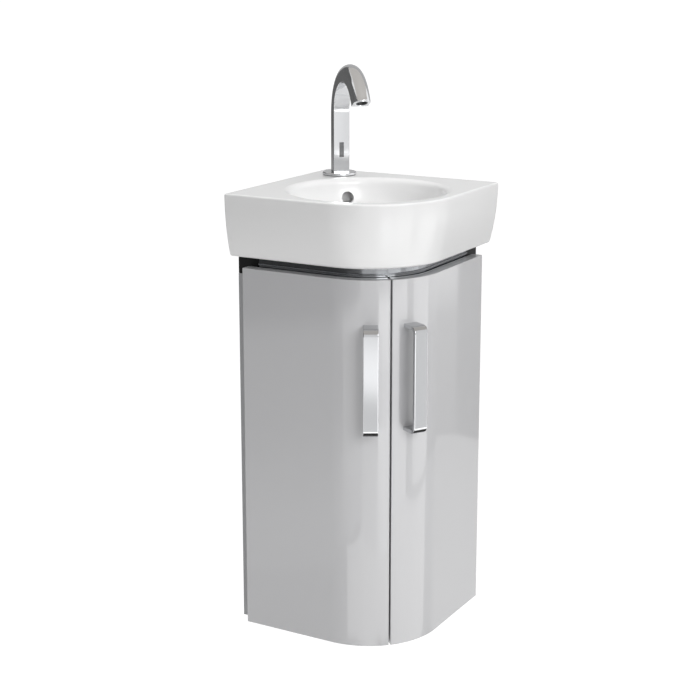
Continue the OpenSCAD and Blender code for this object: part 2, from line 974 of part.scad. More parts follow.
// Soft buffers on the door's round inner face, above and below the opening
module buffer_set() {
    inner = door_corner - door_t;
    color(pipe_white) for (z = [panel_t / 2, carcass_h - panel_t / 2]) {
        translate([corner_at, -corner_at, z]) rotate([0, 0, buffer_angle - 90]) difference() {
            rotate([0, 90, 0]) cylinder(r = buffer_r, h = inner + over);
            translate([0, 0, -2 * buffer_r])
                cylinder(r = front_corner + buffer_air, h = 4 * buffer_r);
            translate([0, 0, -2 * buffer_r]) tube(2 * inner, inner, 4 * buffer_r);
        }
    }
}

module door_left() {
    door_leaf();
}

module door_right() {
    mirrored() door_leaf();
}

module handle_left() {
    strap_handle();
}

module handle_right() {
    mirrored() strap_handle();
}

module handle_screws_left() {
    handle_screw_set();
}

module handle_screws_right() {
    mirrored() handle_screw_set();
}

module door_buffers_left() {
    buffer_set();
}

module door_buffers_right() {
    mirrored() buffer_set();
}

// ---- Basin ----

// Section of the basin's front: a slow curve inwards and a round lower edge
module basin_section() {
    sweep_at = basin_reach - front_sweep_r;
    foot_x = sweep_at + sqrt(pow(front_sweep_r - basin_foot_r, 2) - pow(basin_h - basin_foot_r, 2));
    intersection() {
        square([basin_reach, basin_h]);
        translate([sweep_at, basin_h]) circle(r = front_sweep_r);
        union() {
            square([foot_x, basin_h]);
            translate([0, basin_foot_r]) square([basin_reach, basin_h]);
            translate([foot_x, basin_foot_r]) circle(r = basin_foot_r);
        }
        union() {
            square([basin_reach - basin_edge_r, basin_h]);
            square([basin_reach, basin_h - basin_edge_r]);
            translate([basin_reach - basin_edge_r, basin_h - basin_edge_r]) circle(r = basin_edge_r);
        }
    }
}

module basin_outside() {
    at = basin_reach - basin_corner;
    along_left(0, at) basin_section();
    mirrored() along_left(0, at) basin_section();
    round_corner(at, 0, 90) intersection() {
        basin_section();
        translate([at, 0]) square([basin_corner, basin_h]);
    }
}

// Half section of the bowl, grown by the shell's thickness for its outside
module bowl_half(grow) {
    intersection() {
        union() {
            translate([bend_in, bend_z]) circle(r = bowl_bend + grow);
            translate([0, floor_h - grow]) square([bend_in, basin_h]);
        }
        square([basin_reach, basin_h]);
    }
}

// What the rolled rim leaves open: its round meets the bowl's bend without a step
module rim_half() {
    difference() {
        translate([0, roll_z]) square([rim_out, basin_h - roll_z + over]);
        translate([rim_out, rim_z]) circle(r = rim_roll);
    }
}

module at_bowl() {
    translate([bowl_centre, -bowl_centre, 0]) children();
}

// Open space under the deck, round the bowl and above the flat foot
module underside() {
    low = basin_reach - foot_in;
    high = basin_reach - 2 * deck_t;
    difference() {
        union() {
            translate([0, 0, -over]) linear_extrude(deck_t + 2 * over) intersection() {
                corner_plan(low, basin_corner - foot_in);
                translate([deck_t, -basin_reach]) square([basin_reach, basin_reach - deck_t]);
            }
            translate([0, 0, deck_t]) linear_extrude(basin_h - 2 * deck_t) intersection() {
                corner_plan(high, basin_corner - 2 * deck_t);
                translate([deck_t, -basin_reach]) square([basin_reach, basin_reach - deck_t]);
            }
        }
        at_bowl() rotate_extrude() bowl_half(shell_t);
        at_bowl() translate([0, 0, -2 * over]) cylinder(r = boss_r, h = basin_h / 2);
        overflow_box(shell_t);
    }
}

// Duct from the overflow hole down to the drain, grown by the shell for its outside
module overflow_box(grow) {
    wide = 2 * overflow_r + grow;
    top = basin_h - overflow_drop + overflow_r;
    on_diagonal(duct_out - grow / 2) translate([0, -wide / 2, shell_t / 2 - grow / 2]) {
        cube([shell_t + grow / 2, wide, top - shell_t / 2 + grow / 2]);
        cube([bowl_out - duct_out, wide, shell_t + grow / 2]);
    }
}

module basin() {
    color(glaze_white) translate([0, 0, basin_z]) difference() {
        basin_outside();
        at_bowl() rotate_extrude() bowl_half(0);
        at_bowl() rotate_extrude() rim_half();
        underside();
        at_bowl() translate([0, 0, -over]) cylinder(r = drain_hole_r, h = floor_h + 2 * over);
        on_diagonal(duct_out + shell_t / 2) translate([0, 0, basin_h - overflow_drop])
            rotate([0, 90, 0]) cylinder(r = overflow_r, h = 3 * shell_t);
        overflow_box(0);
        on_diagonal(tap_out) cylinder(r = tap_hole_r, h = basin_h + over);
        basin_bolt_hole();
        mirrored() basin_bolt_hole();
    }
}

module basin_bolt_hole() {
    translate([-over, -basin_bolt_out, basin_bolt_z]) rotate([0, 90, 0])
        cylinder(r = basin_bolt_r, h = deck_t + 2 * over);
}

// ---- Tap ----

// D-shaped section: flat front at the arch's inner side, round back
module tap_section() {
    translate([front_u, -tap_w / 2]) square([flat_d, tap_w]);
    translate([front_u + flat_d, 0]) circle(r = tap_w / 2);
}

// Places a section or bore on the column and round the arch
module at_arch() {
    on_diagonal(tap_out + arch_r) translate([0, 0, tap_z + arch_z]) rotate([90, 0, 0]) children();
}

module tap_sweep() {
    at_arch() rotate_extrude(angle = arch_turn, start = 180 - arch_turn) children();
}

module tap_column() {
    on_diagonal(tap_out + arch_r) translate([0, 0, tap_z]) rotate([0, 0, 180])
        linear_extrude(arch_z) children();
}

// The spout's open end, with Z along the water's way out
module at_outlet() {
    at_arch() rotate([0, 0, 180 - arch_turn]) translate([arch_r, 0, 0]) rotate([90, 0, 0]) children();
}

module window_block(h) {
    on_diagonal(tap_out + arch_r - front_u - h) translate([0, -window_w / 2, tap_z + window_z])
        cube([h, window_w, window_h]);
}

module tap_body() {
    color(polished) difference() {
        union() {
            tap_column() tap_section();
            tap_sweep() tap_section();
        }
        on_diagonal(tap_out) translate([0, 0, tap_z - over]) cylinder(r = waterway_r, h = arch_z + over);
        tap_sweep() translate([arch_r, 0]) circle(r = waterway_r);
        window_block(window_t);
        at_outlet() translate([0, 0, -aerator_h]) cylinder(r = aerator_r, h = aerator_h + over);
    }
}

module sensor_window() {
    color(moulded_black) window_block(window_t);
}

module aerator_housing() {
    color(satin) at_outlet() translate([0, 0, -aerator_h])
        tube(aerator_r, aerator_r - aerator_wall, aerator_h);
}

// Jet plate with a ring of small holes
module aerator_jet() {
    jet_t = aerator_h - 2 * jet_in;
    inner = aerator_r - aerator_wall;
    color(moulded_black) at_outlet() translate([0, 0, -jet_in - jet_t]) difference() {
        cylinder(r = inner, h = jet_t);
        around(jet_holes) translate([jet_ring_r, 0, -over])
            cylinder(r = jet_hole_r, h = jet_t + 2 * over);
    }
}

module tap_base_ring() {
    color(polished) on_diagonal(tap_out) translate([0, 0, basin_top + gasket_t])
        rotate_extrude() difference() {
            translate([waterway_r, 0]) square([ring_r - waterway_r, ring_h]);
            translate([ring_r, ring_h]) corner_cut(ring_edge);
        }
}

module tap_gasket() {
    color(moulded_black) on_diagonal(tap_out) translate([0, 0, basin_top])
        tube(ring_r - gasket_in, shank_r, gasket_t);
}

module tap_shank() {
    color(satin) on_diagonal(tap_out) translate([0, 0, basin_top - deck_t - shank_l])
        tube(shank_r, waterway_r, shank_l + deck_t + gasket_t);
}

module shank_washer() {
    color(satin) on_diagonal(tap_out) translate([0, 0, basin_top - deck_t - washer_t])
        tube(washer_r, shank_r, washer_t);
}

module shank_nut() {
    color(satin) on_diagonal(tap_out) translate([0, 0, basin_top - deck_t - washer_t - nut_h])
        difference() {
            cylinder(r = nut_r, h = nut_h, $fn = 6);
            translate([0, 0, -over]) cylinder(r = shank_r, h = nut_h + 2 * over);
        }
}

// Water inlet: a collar in the shank's end and a nipple for the supply
module inlet_nipple() {
    low = basin_top - deck_t - shank_l;
    color(satin) on_diagonal(tap_out) translate([0, 0, low - nipple_l]) {
        tube(nipple_r, nipple_r - pipe_wall, nipple_l - pipe_wall);
        translate([0, 0, nipple_l - pipe_wall]) tube(shank_r, nipple_r - pipe_wall, pipe_wall);
    }
}

// ---- Waste and trap ----

module waste_flange() {
    color(polished) difference() {
        at_bowl() translate([0, 0, throat_z]) {
            tube(throat_r, throat_r - throat_wall, throat_l);
            translate([0, 0, throat_l]) rotate_extrude() difference() {
                translate([throat_r - throat_wall, 0])
                    square([flange_r - throat_r + throat_wall, flange_t]);
                translate([flange_r, flange_t]) corner_cut(flange_edge);
            }
        }
        translate([0, 0, basin_z]) overflow_slot();
    }
}

// Slot in the throat where the overflow duct arrives
module overflow_slot() {
    on_diagonal(bowl_out - throat_r - over)
        translate([0, -overflow_r / 2, shell_t / 2])
            cube([throat_wall + 2 * over, overflow_r, shell_t]);
}

module waste_grid() {
    hole = throat_r - throat_wall;
    color(polished) at_bowl() translate([0, 0, floor_z - grid_t / 2]) difference() {
        cylinder(r = hole, h = grid_t);
        around(grid_slots) translate([grid_slot_in, -grid_slot_w / 2, -over])
            cube([grid_slot_l, grid_slot_w, grid_t + 2 * over]);
    }
}

module waste_seal() {
    color(moulded_black) at_bowl() translate([0, 0, seal_z]) tube(seal_r, throat_r, seal_h);
}

// Ring nut with grip grooves
module waste_ring_nut() {
    color(satin) at_bowl() translate([0, 0, ring_nut_z]) difference() {
        tube(ring_nut_r, tail_r, ring_nut_h);
        grip_grooves(ring_grips, ring_nut_r, ring_nut_h);
    }
}

module waste_tail() {
    color(satin) at_bowl() translate([0, 0, tail_z]) tube(tail_r, tail_r - pipe_wall, tail_l);
}

// Union nut that closes a pipe of one radius onto a smaller one
module union_nut(large, small) {
    difference() {
        cylinder(r = pipe_nut_r, h = pipe_nut_h);
        translate([0, 0, -over]) cylinder(r = small, h = pipe_nut_h + over);
        translate([0, 0, pipe_nut_h / 2]) cylinder(r = large, h = pipe_nut_h);
        grip_grooves(pipe_grips, pipe_nut_r, pipe_nut_h);
    }
}

module trap_inlet_nut() {
    color(polished) at_bowl() translate([0, 0, pipe_nut_z]) union_nut(tail_r, pipe_r);
}

module trap_dip_pipe() {
    low = bottle_z + dip_air;
    color(polished) at_bowl() translate([0, 0, low]) tube(pipe_r, pipe_r - pipe_wall, tail_z - low);
}

// Head of the bottle: neck above, branch to the wall, open below
module trap_head() {
    inner = bottle_r - pipe_wall;
    branch_r = pipe_r + pipe_wall;
    branch_run = bottle_r + branch_l;
    color(polished) at_bowl() difference() {
        union() {
            translate([0, 0, head_z]) cylinder(r = bottle_r, h = head_h);
            translate([0, 0, head_top]) cylinder(r = branch_r + pipe_wall, h = neck_h);
            translate([0, 0, outlet_z]) rotate([-90, 0, 0]) cylinder(r = branch_r, h = branch_run);
        }
        translate([0, 0, head_z - over]) cylinder(r = inner, h = head_h - pipe_wall + over);
        translate([0, 0, head_z]) cylinder(r = pipe_r, h = head_h + pipe_nut_h);
        translate([0, 0, outlet_z]) rotate([-90, 0, 0]) cylinder(r = pipe_r, h = branch_run + over);
    }
}

// Cup of the bottle, unscrewed to clean the trap
module trap_cup() {
    round_r = bottle_r / 2;
    color(polished) at_bowl() translate([0, 0, bottle_z]) rotate_extrude() intersection() {
        difference() {
            cup_half(bottle_r, 0, round_r);
            cup_half(bottle_r - pipe_wall, pipe_wall, round_r - pipe_wall);
        }
        square([bottle_r, cup_bottle_h]);
    }
}

// Half section of a cup with a round foot
module cup_half(r, z, foot) {
    translate([0, z]) square([r - foot, cup_bottle_h]);
    translate([0, z + foot]) square([r, cup_bottle_h]);
    translate([r - foot, z + foot]) circle(r = foot);
}

// Everything on the outlet's axis, with Z towards the right wall
module at_branch(out) {
    translate([bowl_centre, -out, outlet_z]) rotate([-90, 0, 0]) children();
}

module trap_outlet_nut() {
    color(polished) at_branch(branch_end - pipe_nut_h / 2) mirror([0, 0, 1])
        union_nut(pipe_r + pipe_wall, pipe_r);
}

// Outlet pipe with a groove that marks how far it enters the wall
module outlet_pipe() {
    color(polished) difference() {
        at_branch(branch_end) tube(pipe_r, pipe_r - pipe_wall, branch_end + pipe_out);
        at_branch(0) tube(2 * pipe_r, pipe_r - groove_d, groove_w);
    }
}

// Thin dished cover against the wall
module wall_rosette() {
    color(polished) at_branch(rosette_d) rotate_extrude() difference() {
        rosette_half(rosette_r, 0, rosette_d);
        rosette_half(rosette_r - rosette_t, rosette_t, rosette_d);
        translate([0, -over]) square([pipe_r, rosette_d + 2 * over]);
    }
}

module rosette_half(r, z, d) {
    translate([0, z]) square([r - d, d]);
    intersection() {
        translate([r - d, z + d]) circle(r = d);
        translate([0, z]) square([r, d - z]);
    }
}

side_panel_left();
side_panel_right();
hinge_stile_left();
hinge_stile_right();
wall_rail_left();
wall_rail_right();
bottom_panel();
shelf();
shelf_pins();
dowels();
top_frame();
trim_band();
end_block_left();
end_block_right();
hinge_plates_left();
hinge_plates_right();
hinge_arms_left();
hinge_arms_right();
hinge_screws_left();
hinge_screws_right();
door_left();
door_right();
handle_left();
handle_right();
handle_screws_left();
handle_screws_right();
hinge_cups_left();
hinge_cups_right();
hinge_pins_left();
hinge_pins_right();
cup_screws_left();
cup_screws_right();
door_buffers_left();
door_buffers_right();
basin();
tap_gasket();
tap_base_ring();
tap_body();
sensor_window();
aerator_housing();
aerator_jet();
tap_shank();
shank_washer();
shank_nut();
inlet_nipple();
waste_flange();
waste_grid();
waste_seal();
waste_ring_nut();
waste_tail();
trap_inlet_nut();
trap_dip_pipe();
trap_head();
trap_cup();
trap_outlet_nut();
outlet_pipe();
wall_rosette();
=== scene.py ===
import math
import bmesh
import bpy
from mathutils import Matrix, Vector


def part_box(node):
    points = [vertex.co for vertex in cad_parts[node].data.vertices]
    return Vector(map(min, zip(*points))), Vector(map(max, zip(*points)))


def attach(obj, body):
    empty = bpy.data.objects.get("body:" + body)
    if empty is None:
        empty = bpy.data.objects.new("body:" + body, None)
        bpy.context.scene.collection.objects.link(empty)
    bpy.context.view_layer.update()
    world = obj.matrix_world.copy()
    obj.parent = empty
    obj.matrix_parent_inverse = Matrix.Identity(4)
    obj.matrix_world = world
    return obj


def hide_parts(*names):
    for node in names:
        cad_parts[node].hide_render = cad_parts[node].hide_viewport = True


# Corner vanity unit, in metres. The room's corner is the Z axis, the right wall runs along +X and the left
# wall along -Y, so the unit is symmetric about the diagonal between them.
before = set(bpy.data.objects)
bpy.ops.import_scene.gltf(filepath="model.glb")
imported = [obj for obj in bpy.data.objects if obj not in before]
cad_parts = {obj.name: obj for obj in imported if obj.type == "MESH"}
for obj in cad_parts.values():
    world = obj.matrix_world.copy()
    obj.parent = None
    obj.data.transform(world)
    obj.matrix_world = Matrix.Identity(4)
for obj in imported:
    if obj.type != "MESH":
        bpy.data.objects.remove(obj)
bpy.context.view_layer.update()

# ---- Carcass boards ----
# Particle board faced with a satin grey melamine foil and edged in ABS. The boards are sawn square,
# dowelled together and closed by the doors, so mostly the front edges and the outsides show.

BOARD_EDGE = 0.0008
WELD = 1e-6           # vertices closer than this are one
FLAT_WITHIN = 0.5     # degrees between faces that count as one flat face


def linear(code):
    """An sRGB hex colour as a linear one."""
    parts = [int(code[i:i + 2], 16) / 255 for i in (0, 2, 4)]
    return [p / 12.92 if p <= 0.04045 else ((p + 0.055) / 1.055) ** 2.4 for p in parts] + [1]


def add_node(owner, kind, inputs=None, **settings):
    """Adds a node to a material, world or modifier tree: links an input given as a socket, else sets it."""
    tree = getattr(owner, "node_tree", owner)
    node = tree.nodes.new(kind)
    for name, value in settings.items():
        setattr(node, name, value)
    for name, value in (inputs or {}).items():
        if isinstance(value, bpy.types.NodeSocket):
            tree.links.new(value, node.inputs[name])
        else:
            node.inputs[name].default_value = value
    return node


def new_material(name, colour, **sockets):
    """A principled material: each word names a socket of its shader, with _ for a blank."""
    material = bpy.data.materials.new(name)
    material.use_nodes = True
    shader = material.node_tree.nodes["Principled BSDF"]
    shader.inputs["Base Color"].default_value = linear(colour)
    for word, value in sockets.items():
        match = [s for s in shader.inputs if s.name.lower() == word.replace("_", " ")]
        match[0].default_value = value
    return material


def add_relief(material, grain_mm, height_mm, stretch=(1, 1, 1), detail=2):
    """Gives a material one bump of this grain size and height, on Object coordinates."""
    place = add_node(material, "ShaderNodeTexCoord")
    turn = add_node(material, "ShaderNodeMapping", {"Vector": place.outputs["Object"], "Scale": stretch})
    noise = add_node(material, "ShaderNodeTexNoise", {
        "Vector": turn.outputs["Vector"], "Scale": 1000 / grain_mm, "Detail": detail})
    bump = add_node(material, "ShaderNodeBump", {
        "Height": noise.outputs["Fac"], "Distance": height_mm / 1000, "Strength": 1})
    shader = material.node_tree.nodes["Principled BSDF"]
    material.node_tree.links.new(bump.outputs["Normal"], shader.inputs["Normal"])
    return noise


def object_of(name, built, material):
    """An object at the origin from a bmesh, as it is."""
    mesh = bpy.data.meshes.new(name)
    built.to_mesh(mesh)
    built.free()
    piece = bpy.data.objects.new(name, mesh)
    bpy.context.collection.objects.link(piece)
    piece.data.materials.append(material)
    return piece


def new_piece(name, built, material):
    """An object at the origin from a bmesh, welded and with its normals out."""
    bmesh.ops.remove_doubles(built, verts=built.verts, dist=WELD)
    bmesh.ops.recalc_face_normals(built, faces=built.faces)
    return object_of(name, built, material)


def shade(piece, angle=35):
    """Smooth shading up to an angle, with the large faces kept flat."""
    piece.data.shade_smooth()
    piece.data.set_sharp_from_angle(angle=math.radians(angle))
    even = piece.modifiers.new("even_normals", "WEIGHTED_NORMAL")
    even.keep_sharp = True


def bake(piece):
    """Turns a piece with its modifiers into a plain mesh."""
    graph = bpy.context.evaluated_depsgraph_get()
    made = bpy.data.meshes.new_from_object(piece.evaluated_get(graph))
    piece.modifiers.clear()
    piece.data = made


def soften(piece, width, steps=3, angle=50):
    """Rounds the edges of a piece that are sharper than an angle."""
    bevel = piece.modifiers.new("soft_edges", "BEVEL")
    bevel.width = width
    bevel.segments = steps
    bevel.limit_method = "ANGLE"
    bevel.angle_limit = math.radians(angle)
    bake(piece)


def soft_copy(node, material, width, angle=50):
    """Stands for a CAD node: the same shape with its edges rounded."""
    built = bmesh.new()
    built.from_mesh(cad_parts[node].data)
    bmesh.ops.remove_doubles(built, verts=built.verts, dist=2 * WELD)
    bmesh.ops.dissolve_limit(
        built, angle_limit=math.radians(FLAT_WITHIN), verts=built.verts, edges=built.edges)
    piece = new_piece(node + "_finish", built, material)
    soften(piece, width, angle=angle)
    shade(piece)
    return piece


def finish(piece, body, slot, *nodes):
    """Says where a finished piece belongs and what it stands for."""
    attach(piece, body)
    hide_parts(*nodes)


# Melamine foil on particle board: an even satin grey with a fine pearl grain.
melamine_board = new_material("melamine_faced_board", "b6b7b9", roughness=0.42, ior=1.5)
add_relief(melamine_board, grain_mm=0.8, height_mm=0.01)

for board in (
        "side_panel_left", "side_panel_right", "hinge_stile_left", "hinge_stile_right",
        "wall_rail_left", "wall_rail_right", "bottom_panel", "shelf", "top_frame"):
    finish(soft_copy(board, melamine_board, BOARD_EDGE), "cabinet", "carcass_board", board)

# ---- Dowels and shelf pins ----
# Grooved beech dowels glued into the boards, and turned steel pins that carry the shelf.

# Beech: pale brown, with long fine grain along the dowel (along X or Y, so it is drawn lengthwise short).
beech = new_material("raw_beech", "d2b186", roughness=0.65)
grain = add_relief(beech, grain_mm=1.5, height_mm=0.05, detail=4)
beech_tones = add_node(beech, "ShaderNodeValToRGB", {"Fac": grain.outputs["Fac"]})
beech_tones.color_ramp.elements[0].color = linear("b8905f")
beech_tones.color_ramp.elements[1].color = linear("e0c39c")
beech.node_tree.links.new(
    beech_tones.outputs["Color"], beech.node_tree.nodes["Principled BSDF"].inputs["Base Color"])

# Zinc-plated steel: bright grey with a fine crystalline unevenness in its gloss.
zinc_steel = new_material("zinc_plated_steel", "b4b7b9", metallic=1, roughness=0.32)
add_relief(zinc_steel, grain_mm=0.7, height_mm=0.01)


def dress(node, material):
    """Gives a CAD node, whose shape is right, its real material."""
    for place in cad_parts[node].material_slots:
        place.material = material


dress("dowels", beech)
dress("shelf_pins", zinc_steel)

# ---- Doors ----
# Curved MDF boards pressed to one radius, lacquered in high-gloss light grey on all sides. They meet at the
# corner's middle, and each is bored on the inside for the cups of its two hinges.

DOOR_T = 0.018
DOOR_CORNER = 0.120   # radius of the doors' outside
SEAM_GAP = 0.0028
DOOR_EDGE = 0.0015
SWING_EDGE = 0.004    # radius of the inner edge that passes the stile
ARC_STEP = 1.5        # degrees
HINGE_Z = (0.090, 0.480)
CUP_BACK = 0.0144     # depth of the cup's bore
CUP_L = 0.030
CUP_H = 0.022
EAR_W = 0.020         # the cup's ears, let in flush above and below it
EAR_Z = 0.023
EAR_T = 0.001

door_low, door_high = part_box("door_left")
door_reach = -door_low.y
door_back = door_reach - DOOR_T
corner_at = door_reach - DOOR_CORNER
door_inset = door_low.x
cup_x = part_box("hinge_cups_left")[0].x


def arc(centre, radius, start, end, step=ARC_STEP):
    """Points along an arc, angles in degrees."""
    count = max(2, math.ceil(abs(end - start) / step))
    turns = [math.radians(start + (end - start) * i / count) for i in range(count + 1)]
    return [(centre[0] + radius * math.cos(t), centre[1] + radius * math.sin(t)) for t in turns]


def round_off(before, corner, after, radius, steps=5):
    """Points that round a right-angled corner between two neighbours."""
    one = (Vector(before) - Vector(corner)).normalized()
    two = (Vector(after) - Vector(corner)).normalized()
    middle = Vector(corner) + (one + two) * radius
    return [tuple(middle - two * radius * math.cos(t) - one * radius * math.sin(t))
            for t in (math.pi / 2 * i / steps for i in range(steps + 1))]


def prism(outline, low, high):
    """A closed block with this plan, between two heights."""
    built = bmesh.new()
    rings = [[built.verts.new((x, y, z)) for x, y in outline] for z in (low, high)]
    built.faces.new(rings[0])
    built.faces.new(rings[1])
    for i in range(len(outline)):
        j = (i + 1) % len(outline)
        built.faces.new((rings[0][i], rings[0][j], rings[1][j], rings[1][i]))
    return built


def block(low, high):
    """A plain box, for cutting."""
    (x0, y0, z0), (x1, y1, z1) = low, high
    return prism([(x0, y0), (x1, y0), (x1, y1), (x0, y1)], z0, z1)


def cut(piece, cutters, operation="DIFFERENCE"):
    """Takes each cutter off a piece, or adds it, and removes the cutter."""
    for built in cutters:
        tool = new_piece("tool", built, piece.data.materials[0])
        boolean = piece.modifiers.new("cut", "BOOLEAN")
        boolean.operation = operation
        boolean.solver = "EXACT"
        boolean.object = tool
        bake(piece)
        bpy.data.objects.remove(tool)


def door_plan():
    """Outline of the left door: straight from the hinge side, then round to the seam."""
    middle = (corner_at, -corner_at)
    outer_stop = 315 - math.degrees(math.asin(SEAM_GAP / 2 / DOOR_CORNER))
    inner_stop = 315 - math.degrees(math.asin(SEAM_GAP / 2 / (DOOR_CORNER - DOOR_T)))
    outer = arc(middle, DOOR_CORNER, 270, outer_stop)
    inner = arc(middle, DOOR_CORNER - DOOR_T, inner_stop, 270)
    hinge_outer = (door_inset, -door_reach)
    hinge_inner = (door_inset, -door_back)
    return (
        round_off(hinge_inner, hinge_outer, outer[0], DOOR_EDGE) + outer[:-1]
        + round_off(outer[-2], outer[-1], inner[0], DOOR_EDGE / 2)
        + round_off(outer[-1], inner[0], inner[1], DOOR_EDGE / 2)
        + inner[1:]
        + round_off(inner[-1], hinge_inner, hinge_outer, SWING_EDGE))


def cup_pockets():
    """What the two hinge cups and their flush ears take out of a door."""
    ear_x = cup_x + CUP_L / 2
    for z in HINGE_Z:
        yield block((cup_x, -door_back - CUP_BACK, z - CUP_H / 2),
                    (cup_x + CUP_L, -door_back + EAR_T, z + CUP_H / 2))
        yield block((ear_x - EAR_W / 2, -door_back - EAR_T, z - EAR_Z),
                    (ear_x + EAR_W / 2, -door_back + EAR_T, z + EAR_Z))


def mirrored(piece, name):
    """The other side's piece: the unit is symmetric about the diagonal between the walls."""
    built = bmesh.new()
    built.from_mesh(piece.data)
    for vert in built.verts:
        x, y, z = vert.co
        vert.co = (-y, -x, z)
    bmesh.ops.reverse_faces(built, faces=built.faces)
    return object_of(name, built, piece.data.materials[0])


# High-gloss polyurethane lacquer, sprayed and polished: a light neutral grey under a clear hard gloss,
# with a trace of the long soft waves that sprayed lacquer keeps.
gloss_lacquer = new_material(
    "gloss_lacquer", "c4c4c6", roughness=0.35, ior=1.5, coat_weight=1.0, coat_roughness=0.04, coat_ior=1.65)
add_relief(gloss_lacquer, grain_mm=14, height_mm=0.012, detail=1)

door_left = new_piece("door_left_lacquered", prism(door_plan(), door_low.z, door_high.z), gloss_lacquer)
soften(door_left, DOOR_EDGE, steps=4, angle=60)
cut(door_left, cup_pockets())
door_right = mirrored(door_left, "door_right_lacquered")
for side, door in (("left", door_left), ("right", door_right)):
    shade(door)
    finish(door, side + "_door", "door_lacquer", "door_" + side)

# ---- Handles ----
# Flat steel strap, bent to a U with tight round bends, polished and chrome-plated. Each is held by two
# screws through the door, and stands across the round corner close to the seam.

HANDLE_ANGLE = 30     # degrees round the corner from the straight front
HANDLE_W = 0.023
HANDLE_REACH = 0.031
STRAP_T = 0.006
STRAP_BEND = 0.011    # outer radius of the bends
STRAP_EDGE = 0.0012
EDGE_STEPS = 4
STRAP_SINK = 0.001    # how far the feet reach into the door
BEND_STEP = 6

handle_low, handle_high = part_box("handle_left")


def poly_curve(name, points, closed=False):
    """A flat curve through points in its own XY plane, for sweeping along or as a section."""
    data = bpy.data.curves.new(name, "CURVE")
    data.dimensions = "3D"
    data.twist_mode = "Z_UP"
    spline = data.splines.new("POLY")
    spline.points.add(len(points) - 1)
    for point, (x, y) in zip(spline.points, points):
        point.co = (x, y, 0, 1)
    spline.use_cyclic_u = closed
    curve = bpy.data.objects.new(name, data)
    bpy.context.collection.objects.link(curve)
    return curve


def tree_with(name, sockets):
    """An empty modifier tree with these named inputs."""
    tree = bpy.data.node_groups.new(name, "GeometryNodeTree")
    tree.is_modifier = True
    tree.interface.new_socket("Geometry", in_out="INPUT", socket_type="NodeSocketGeometry")
    for word, kind in sockets.items():
        tree.interface.new_socket(word, in_out="INPUT", socket_type=kind)
    tree.interface.new_socket("Geometry", in_out="OUTPUT", socket_type="NodeSocketGeometry")
    return tree


def run_tree(piece, tree, values):
    """Runs a tree on an object with these values for its named inputs, and keeps the plain mesh."""
    modifier = piece.modifiers.new(tree.name, "NODES")
    modifier.node_group = tree
    for item in tree.interface.items_tree:
        if item.in_out == "INPUT" and item.name in values:
            modifier[item.identifier] = values[item.name]
    graph = bpy.context.evaluated_depsgraph_get()
    mesh = bpy.data.meshes.new_from_object(piece.evaluated_get(graph))
    made = bpy.data.objects.new(piece.name + "_mesh", mesh)
    bpy.context.collection.objects.link(made)
    bpy.data.objects.remove(piece)
    return made


def bent_bar_tree():
    """A bar with a rounded rectangular section, bent along a flat path."""
    tree = tree_with("bent_bar", {
        "Thickness": "NodeSocketFloat", "Width": "NodeSocketFloat", "Edge radius": "NodeSocketFloat",
        "Material": "NodeSocketMaterial"})
    given = add_node(tree, "NodeGroupInput").outputs
    section = add_node(tree, "GeometryNodeCurvePrimitiveQuadrilateral", {
        "Width": given["Thickness"], "Height": given["Width"]})
    rounded = add_node(tree, "GeometryNodeFilletCurve", {
        "Curve": section.outputs["Curve"], "Radius": given["Edge radius"],
        "Count": EDGE_STEPS}, mode="POLY")
    bar = add_node(tree, "GeometryNodeCurveToMesh", {
        "Curve": given["Geometry"], "Profile Curve": rounded.outputs["Curve"], "Fill Caps": True})
    plain = add_node(tree, "GeometryNodeRealizeInstances", {"Geometry": bar.outputs["Mesh"]})
    painted = add_node(tree, "GeometryNodeSetMaterial", {
        "Geometry": plain.outputs["Geometry"], "Material": given["Material"]})
    add_node(tree, "NodeGroupOutput", {"Geometry": painted.outputs["Geometry"]})
    return tree


def placed(made, name, matrix):
    """A swept piece moved into place in its mesh, with its normals out."""
    built = bmesh.new()
    built.from_mesh(made.data)
    built.transform(matrix)
    piece = new_piece(name, built, made.data.materials[0])
    bpy.data.objects.remove(made)
    return piece


# Chrome on the bent steel, a grey mirror darker than the tap's chrome: the grey is painted shade, standing
# for the shaded door that the straps mirror.
dark_chrome = new_material("dark_chrome", "c2c3c5", metallic=1, roughness=0.1)
add_relief(dark_chrome, grain_mm=25, height_mm=0.004, detail=1)

strap_h = handle_high.z - handle_low.z
bend_mid = STRAP_BEND - STRAP_T / 2
strap_out = HANDLE_REACH - STRAP_T / 2
strap_top = strap_h / 2 - STRAP_T / 2
strap_path = (
    [(-STRAP_SINK, -strap_top)]
    + arc((strap_out - bend_mid, -strap_top + bend_mid), bend_mid, -90, 0, BEND_STEP)
    + arc((strap_out - bend_mid, strap_top - bend_mid), bend_mid, 0, 90, BEND_STEP)
    + [(-STRAP_SINK, strap_top)])
# The straps take the chrome greyed with painted shade.
strap = run_tree(poly_curve("strap_path", strap_path), bent_bar_tree(), {
    "Thickness": STRAP_T, "Width": HANDLE_W, "Edge radius": STRAP_EDGE, "Material": dark_chrome})

# The path's plane stands upright: its X points out of the round corner at the handle, its Y upwards.
facing = math.radians(HANDLE_ANGLE - 90)
out_of_corner = Vector((math.cos(facing), math.sin(facing), 0))
handle_mid = (handle_low.z + handle_high.z) / 2
handle_foot = Vector((corner_at, -corner_at, handle_mid)) + out_of_corner * DOOR_CORNER
upright = Matrix((
    (out_of_corner.x, 0, out_of_corner.y, handle_foot.x),
    (out_of_corner.y, 0, -out_of_corner.x, handle_foot.y),
    (0, 1, 0, handle_foot.z),
    (0, 0, 0, 1)))
handle_left = placed(strap, "handle_left_strap", upright)
handle_right = mirrored(handle_left, "handle_right_strap")
for side, handle in (("left", handle_left), ("right", handle_right)):
    shade(handle)
    finish(handle, side + "_door", "chrome_handle", "handle_" + side)

